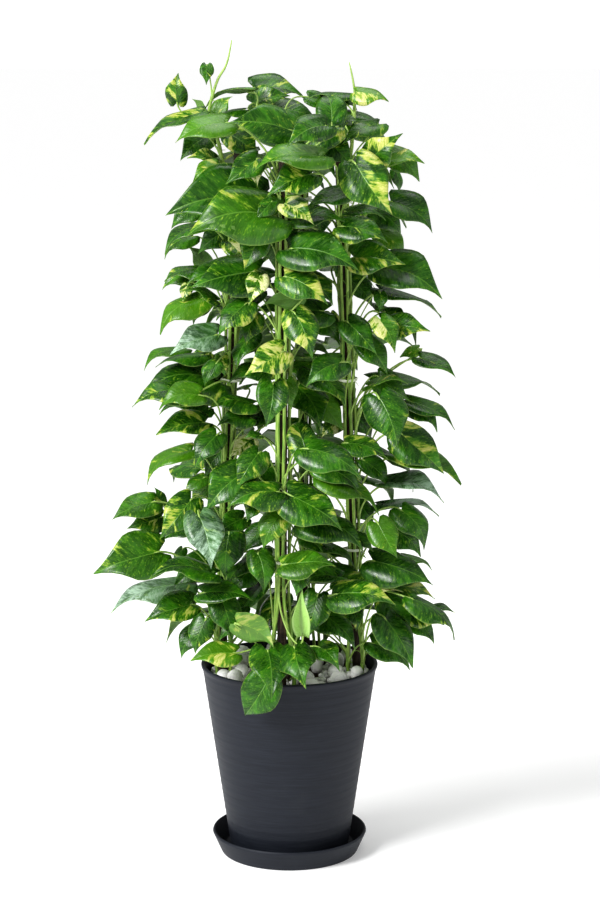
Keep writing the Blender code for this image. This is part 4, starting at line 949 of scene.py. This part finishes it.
def plant():
    """Lays the leaves out as the part does and gives each vine its finished pieces."""
    lines = {(side, n): vine_line(side, n) for side in POLES for n in range(4)}
    space = Space()
    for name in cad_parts:
        if not name.startswith(("vine", "saucer")):
            space.add(cad_solid(name))
    for key, line in lines.items():
        space.add(Space.solid(*rod(line, VINE_R + 0.0006), owner=key))
    leaves = lay_out(space, lines)
    for (side, n), line in lines.items():
        rng = Random(f"{side}{n}")
        own = [leaf for leaf in leaves if (leaf["side"], leaf["vine"]) == (side, n)]
        name = f"vine_{side}_{n + 1}"
        woody, blades = Heap(), Heap()
        points, faces = stem(line, [leaf["node"].z for leaf in own], rng)
        young = np.clip((points[:, 2:] - line[-1].z + 0.22) / 0.22, 0.0, 1.0)
        woody.add(points, faces, mark=young * np.ones((1, 3)))
        for leaf in own:
            points, faces = stalk(leaf)
            woody.add(points, faces, mark=(0.85, 0, 0))
            points, faces, index, place, mark = blade(leaf, rng)
            blades.add(points, faces, index, place=place, mark=mark)
            axis = on_pole(side, leaf["node"].z)
            toward = (axis - leaf["node"]).normalized()
            start = leaf["node"] - Vector((0, 0, 0.004))
            for _ in range(AIR_ROOTS):
                out = toward + Vector((rng.uniform(-1, 1), rng.uniform(-1, 1), 0)) * 0.9
                points, faces = root(start, out.normalized(), rng.uniform(0.004, 0.009), rng)
                woody.add(points, faces, mark=(0.0, 0, 0))
        woody.put(f"{name}_stem_and_stalks", [STEM_SKIN], "pothos_green", (name,))
        if own:
            blades.put(f"{name}_leaves", [LEAF_UPPER, LEAF_UNDER], "pothos_green", (name,))


def poles():
    """Each pole: radius (POLE_R - 0.4 mm)(1 + 0.05 coarse noise + 0.03 fine noise) on a tube
    between the part's two ends, with loose fibres standing off it."""
    for side in POLES:
        rng = Random(side)
        low, high = on_pole(side, POLE_FOOT_Z), on_pole(side, POLE_TOP_Z)
        t = np.linspace(0, 1, 220)
        line = np.array(low)[None] * (1 - t[:, None]) + np.array(high)[None] * t[:, None]
        angle = np.linspace(0, 2 * np.pi, 20, endpoint=False)
        skin = np.stack(np.broadcast_arrays(np.cos(angle)[None] * 0.0066,
                                            np.sin(angle)[None] * 0.0066,
                                            t[:, None] * 0.30), axis=-1)
        radii = (POLE_R - 0.0004) * (1 + 0.05 * wobble(skin, 0.0021, 3.0 + len(side))
                                     + 0.03 * wobble(skin, 0.0007, 1.0))
        heap = Heap()
        heap.add(*tube(line, radii, 20, (1, 0.1, 0)))
        for _ in range(FIBRES):
            z = rng.uniform(0.26, POLE_TOP_Z - 0.02)
            turn = rng.uniform(0, 2 * math.pi)
            out = Vector((math.cos(turn), math.sin(turn), rng.uniform(0.6, 2.2))).normalized()
            foot = on_pole(side, z) + Vector((math.cos(turn), math.sin(turn), 0)) * 0.0058
            k = np.linspace(0, 1, 4)[:, None]
            strand = np.array(foot) + k * np.array(out) * rng.uniform(0.004, 0.009)
            heap.add(*tube(strand, np.linspace(0.00035, 0.0002, 4), 4, (0.3, 1, 0)))
        heap.put(f"pole_{side}_fern_fibre", [POLE], "pole_fibre", (f"pole_{side}",))


def ties():
    """Each tie: a flat band round pole and vines, its section a slim rounded oblong, with the
    twisted ends of the knot standing off one side."""
    around, section = 40, 10
    for side in POLES:
        way = on_pole(side, 1.0) - on_pole(side, 0.3)
        turn = Vector((0, 0, 1)).rotation_difference(way.normalized())
        for k, z in enumerate(TIE_HEIGHTS):
            rng = Random(f"tie{side}{k}")
            a = np.linspace(0, 2 * np.pi, around, endpoint=False)[:, None]
            b = np.linspace(0, 2 * np.pi, section, endpoint=False)[None, :]
            bulge = TIE_R * 0.955 * (1 + 0.035 * np.cos(4 * a + 0.7))
            r = bulge + 0.00045 * np.cos(b)
            ring = np.stack([r * np.cos(a), r * np.sin(a),
                             0.5 * TIE_HIGH + 0.0019 * np.sin(b) * np.ones_like(a)
                             + 0.0006 * np.sin(2 * a + k)], axis=-1)
            spin = np.array(turn.to_matrix())
            ring = ring.reshape(-1, 3) @ spin.T + np.array(on_pole(side, z))
            faces = grid_faces(around, section, around=True)[:, ::-1].tolist()
            last = (around - 1) * section
            faces += [[j, (j + 1) % section, last + (j + 1) % section, last + j]
                      for j in range(section)]
            heap = Heap()
            heap.add(ring, faces)
            knot_turn = math.radians(POLES[side]) + rng.uniform(-0.7, 0.7)
            out = Vector((math.cos(knot_turn), math.sin(knot_turn), 0))
            knot = on_pole(side, z) + out * (TIE_R * 0.93) + Vector((0, 0, 0.002))
            for lean in (-0.6, 0.7):
                t = np.linspace(0, 1, 6)[:, None]
                end = np.array(out) * 0.006 + np.array((0, 0, lean * 0.008))
                tail = np.array(knot) + t * end + t ** 2 * np.array((0.001, 0.0015, -0.002))
                heap.add(*tube(tail, np.array([0.0012, 0.0010, 0.0006, 0.0005, 0.0005, 0.0004]),
                               6, (0.3, 0.2, 1)))
            heap.put(f"tie_{side}_{k + 1}_band", [TIE], "tie_pale", (f"tie_{side}_{k + 1}",))


def stone(low, high, seed, rows=13, cols=18):
    """A tumbled stone in the box low..high: an ellipsoid with powers of 0.9 that square it a
    little, dented by 5 % smooth noise."""
    v = np.linspace(-0.5 * np.pi, 0.5 * np.pi, rows)[1:-1, None]
    a = np.linspace(0, 2 * np.pi, cols, endpoint=False)[None, :]

    def soft(x):
        return np.sign(x) * np.abs(x) ** 0.9
    ball = np.stack(np.broadcast_arrays(soft(np.cos(v)) * soft(np.cos(a)),
                                        soft(np.cos(v)) * soft(np.sin(a)), soft(np.sin(v))),
                    axis=-1).reshape(-1, 3)
    ball = np.vstack([ball, [[0, 0, -1.0], [0, 0, 1.0]]])
    ball = ball * (0.95 + 0.05 * wobble(ball, 0.8, seed))[:, None]
    middle, reach = (low + high) / 2, (high - low) / 2
    count = (rows - 2) * cols
    here, after = np.arange(cols), (np.arange(cols) + 1) % cols
    faces = grid_faces(rows - 2, cols, around=True).tolist()
    faces += np.stack([np.full(cols, count), after, here], axis=-1).tolist()
    top = count - cols
    faces += np.stack([np.full(cols, count + 1), top + here, top + after], axis=-1).tolist()
    return middle + ball * reach, faces


def pebbles():
    """The stones of the part, and small chips of the same marble washed in between them."""
    boxes = []
    for i in range(PEBBLES):
        name = f"pebble_{i + 1:02d}"
        low, high = (np.array(c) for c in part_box(name))
        boxes.append(((low + high) / 2, (high - low) / 2))
        heap = Heap()
        heap.add(*stone(low, high, 3.1 * i))
        heap.put(f"marble_{name}", [PEBBLE], "pebble_marble", (name,))
    rng = Random(5)
    heap = Heap()
    placed = []
    for _ in range(CHIPS_TRIED):
        size = np.array([rng.uniform(0.005, 0.0085), rng.uniform(0.004, 0.007),
                         rng.uniform(0.0035, 0.006)])
        turn, r = rng.uniform(0, 2 * math.pi), CHIPS_REACH * math.sqrt(rng.uniform(0.12, 1.0))
        r = min(r, CHIPS_REACH - max(size))
        at = np.array([r * math.cos(turn), r * math.sin(turn), SOIL_Z + 0.001 + size[2] * 0.8])
        if any(np.linalg.norm((at - c) / (h + size * 0.85)) < 1.0 for c, h in boxes + placed):
            continue
        if any((on_pole(side, 0.25).xy - Vector(at[:2])).length < 0.012 for side in POLES):
            continue
        placed.append((at, size))
        heap.add(*stone(at - size, at + size, rng.uniform(0, 60), 7, 8))
    heap.put("marble_chips", [PEBBLE], "pebble_marble")


def soil():
    """Soil: a turned body whose top stands at SOIL_Z + 1.1 mm coarse + 0.5 mm fine noise, and
    loose crumbs."""
    low, high = (np.array(c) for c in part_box("soil"))
    rim, foot = high[0], wall_radius(low[2] + 0.001) - POT_WALL - 0.0006
    r = np.concatenate([[0], np.linspace(0.004, rim - 0.0016, 34), [rim - 0.0010]])
    profile = [(0, SOIL_Z)] + [(x, SOIL_Z) for x in r[1:]] + [
        (rim - 0.0016, SOIL_Z - 0.004), (foot, low[2]), (0, low[2])]
    points, faces = turned(profile, 120)
    on_top = points[:, 2] > SOIL_Z - 0.001
    points[on_top, 2] += 0.0011 * wobble(points[on_top], 0.0045, 2.0) \
        + 0.0005 * wobble(points[on_top], 0.0014, 5.0)
    heap = Heap()
    heap.add(points, faces)
    rng = Random(9)
    for _ in range(CRUMBS):
        turn, r = rng.uniform(0, 2 * math.pi), (rim - 0.006) * math.sqrt(rng.random())
        size = np.array([rng.uniform(0.0012, 0.0042), rng.uniform(0.0012, 0.0030),
                         rng.uniform(0.0008, 0.0020)])
        at = np.array([r * math.cos(turn), r * math.sin(turn), SOIL_Z + size[2] * 0.6])
        heap.add(*stone(at - size, at + size, rng.uniform(0, 60), 5, 6))
    heap.put("soil_with_crumbs", [SOIL], "soil_dark", ("soil",))


def wall_radius(z):
    """Outside radius of the pot's wall."""
    return POT_FOOT_R + (POT_TOP_R - 0.0012 - POT_FOOT_R) * (z - POT_FOOT_Z) / (
        POT_TOP_Z - POT_FOOT_Z)


def pot():
    """Pot: the part's profile turned in fine steps, the wall's radius swelling by
    0.12 mm in slow rings and 0.08 mm in quicker ones, and drain holes cut through the floor."""
    low, high = POT_FOOT_Z, POT_TOP_Z
    inner = wall_radius(low + POT_FLOOR) - POT_WALL
    z_in = np.linspace(low + POT_FLOOR + 0.004, 0.262, 40)
    inside = [(wall_radius(z) - POT_WALL, z) for z in z_in]
    lip = smooth_profile([(POT_TOP_R - 0.0049, high - 0.0040), (POT_TOP_R - 0.0044, high - 0.0008),
                          (POT_TOP_R - 0.0030, high), (POT_TOP_R - 0.0012, high - 0.0001),
                          (POT_TOP_R, high - 0.0016), (POT_TOP_R - 0.0003, high - 0.0042),
                          (POT_TOP_R - 0.0016, high - 0.0070)], 5)
    z_out = np.linspace(high - 0.011, low + 0.004, 150)
    ripple = 0.00012 * np.sin(z_out * 520) + 0.00008 * np.sin(z_out * 1130 + 1.0)
    outside = [(wall_radius(z) + d, z) for z, d in zip(z_out, ripple)]
    profile = ([(0, low + POT_FLOOR), (inner * 0.5, low + POT_FLOOR),
                (inner - 0.004, low + POT_FLOOR), (inner - 0.001, low + POT_FLOOR + 0.001)]
               + inside + [tuple(p) for p in lip] + outside
               + [(POT_FOOT_R + 0.0006, low + 0.0015), (POT_FOOT_R - 0.0008, low),
                  (POT_FOOT_R - 0.0060, low), (POT_FOOT_R - 0.0078, low + 0.0020),
                  (0.02, low + 0.0020), (0, low + 0.0020)])
    points, faces = turned(profile, 160)
    heap = Heap()
    heap.add(points, faces)
    shell = heap.put("pot_thrown", [POT], "pot_charcoal", ("pot",))
    drills = Heap()
    for i in range(DRAINS_AROUND + 1):
        turn = 2 * math.pi * i / DRAINS_AROUND
        ring = DRAIN_RING if i < DRAINS_AROUND else 0.0
        spot = np.array((math.cos(turn), math.sin(turn), 0)) * ring
        drills.add(*tube([spot, spot + (0, 0, 0.016)], [DRAIN_R] * 2, 20, (1, 0, 0)))
    cut_out(shell, drills)


def saucer():
    """Saucer: the part's profile turned in fine steps with rounded edges."""
    wall = np.linspace(0, 1, 16)
    foot_in, rim_in = (0.0918, 0.0056), (SAUCER_RIM_R - 0.0038, SAUCER_TOP_Z - 0.0014)
    foot_out = (SAUCER_FOOT_R + 0.0010, 0.0017)
    rim_out = (SAUCER_RIM_R - 0.0002, SAUCER_TOP_Z - 0.0022)
    inside = [(foot_in[0] + (rim_in[0] - foot_in[0]) * t,
               foot_in[1] + (rim_in[1] - foot_in[1]) * t) for t in wall]
    outside = [(rim_out[0] + (foot_out[0] - rim_out[0]) * t,
                rim_out[1] + (foot_out[1] - rim_out[1]) * t) for t in wall]
    lip = smooth_profile([rim_in, (SAUCER_RIM_R - 0.0030, SAUCER_TOP_Z - 0.0001),
                          (SAUCER_RIM_R - 0.0012, SAUCER_TOP_Z), rim_out], 5)[1:-1]
    profile = ([(0, 0.0040), (0.05, 0.0040), (0.0885, 0.0040), (0.0903, 0.0044)] + inside
               + [tuple(p) for p in lip] + outside
               + [(SAUCER_FOOT_R + 0.0002, 0.0004), (SAUCER_FOOT_R - 0.0006, 0.0), (0.05, 0.0),
                  (0, 0)])
    points, faces = turned(profile, 160)
    heap = Heap()
    heap.add(points, faces)
    heap.put("saucer_thrown", [SAUCER], "saucer_charcoal", ("saucer",))


plant()
poles()
ties()
pebbles()
soil()
pot()
saucer()


# ---------------------------------------------------------------- floor, light and camera

WORLD_LIGHT, SUN_LIGHT, FLOOR_GLOW = 0.39, 1.75, 0.16
SEEN_WHITE = 1.05                           # how bright the empty background looks
FLOOR_HALF = 60.0
LAMPS_AIM = Vector((0, 0, 0.6))
LENS, SENSOR = 95.1, 36.0                   # millimetres
LOOK_DOWN = 0.1773                          # radians


def studio():
    """A wide white floor, white all round, one large soft sun from the upper left and softboxes
    that draw the highlights on the leaves."""
    bpy.context.scene.view_settings.view_transform = "Standard"
    bpy.context.scene.view_settings.look = "Medium High Contrast"
    size = FLOOR_HALF
    mesh = bpy.data.meshes.new("studio_floor")
    mesh.from_pydata([(-size, -size, 0), (size, -size, 0), (size, size, 0), (-size, size, 0)],
                     [], [(0, 1, 2, 3)])
    floor = bpy.data.objects.new("studio_floor", mesh)
    bpy.context.scene.collection.objects.link(floor)
    paper = Finish("studio_paper", roughness=0.9, specular_ior_level=0.1,
                   emission_color=(1, 1, 1, 1), emission_strength=FLOOR_GLOW)
    tone = paper.noise(paper.place, 3.0, 2.0)
    mesh.materials.append(paper.finish(paper.mix(tone, (0.92, 0.92, 0.92), (0.94, 0.94, 0.94))))

    world = bpy.data.worlds.new("studio_white")
    bpy.context.scene.world = world
    world.use_nodes = True
    tree = world.node_tree
    back = tree.nodes["Background"]
    back.inputs["Color"].default_value = (1.0, 1.0, 1.0, 1)
    path = tree.nodes.new("ShaderNodeLightPath")
    level = tree.nodes.new("ShaderNodeMapRange")
    level.inputs["To Min"].default_value = WORLD_LIGHT
    level.inputs["To Max"].default_value = SEEN_WHITE
    tree.links.new(path.outputs["Is Camera Ray"], level.inputs["Value"])
    tree.links.new(level.outputs[0], back.inputs["Strength"])

    def lamp(name, kind, place, energy, **settings):
        light = bpy.data.lights.new(name, kind)
        light.energy = energy
        for key, value in settings.items():
            setattr(light, key, value)
        holder = bpy.data.objects.new(name, light)
        bpy.context.scene.collection.objects.link(holder)
        holder.location = place
        aim = LAMPS_AIM - Vector(place)
        holder.rotation_euler = aim.to_track_quat("-Z", "Y").to_euler()

    lamp("soft_sun", "SUN", (-2.7, -1.7, 3.1), SUN_LIGHT, angle=math.radians(32))
    lamp("softbox_left", "AREA", (-1.9, -2.1, 2.2), 62, shape="SQUARE", size=0.9)
    lamp("softbox_right", "AREA", (2.6, -1.6, 1.6), 12, shape="SQUARE", size=1.6)
    lamp("softbox_top", "AREA", (0.2, 0.5, 2.9), 16, shape="SQUARE", size=1.4)


def camera():
    """At FRONT_EYE, looking along +Y and LOOK_DOWN below the level."""
    view = bpy.data.cameras.new("front_view")
    view.sensor_width, view.lens = SENSOR, LENS
    eye = bpy.data.objects.new("front_view", view)
    bpy.context.scene.collection.objects.link(eye)
    eye.location = FRONT_EYE
    eye.rotation_euler = (math.radians(90) - LOOK_DOWN, 0, 0)
    bpy.context.scene.camera = eye


studio()
camera()
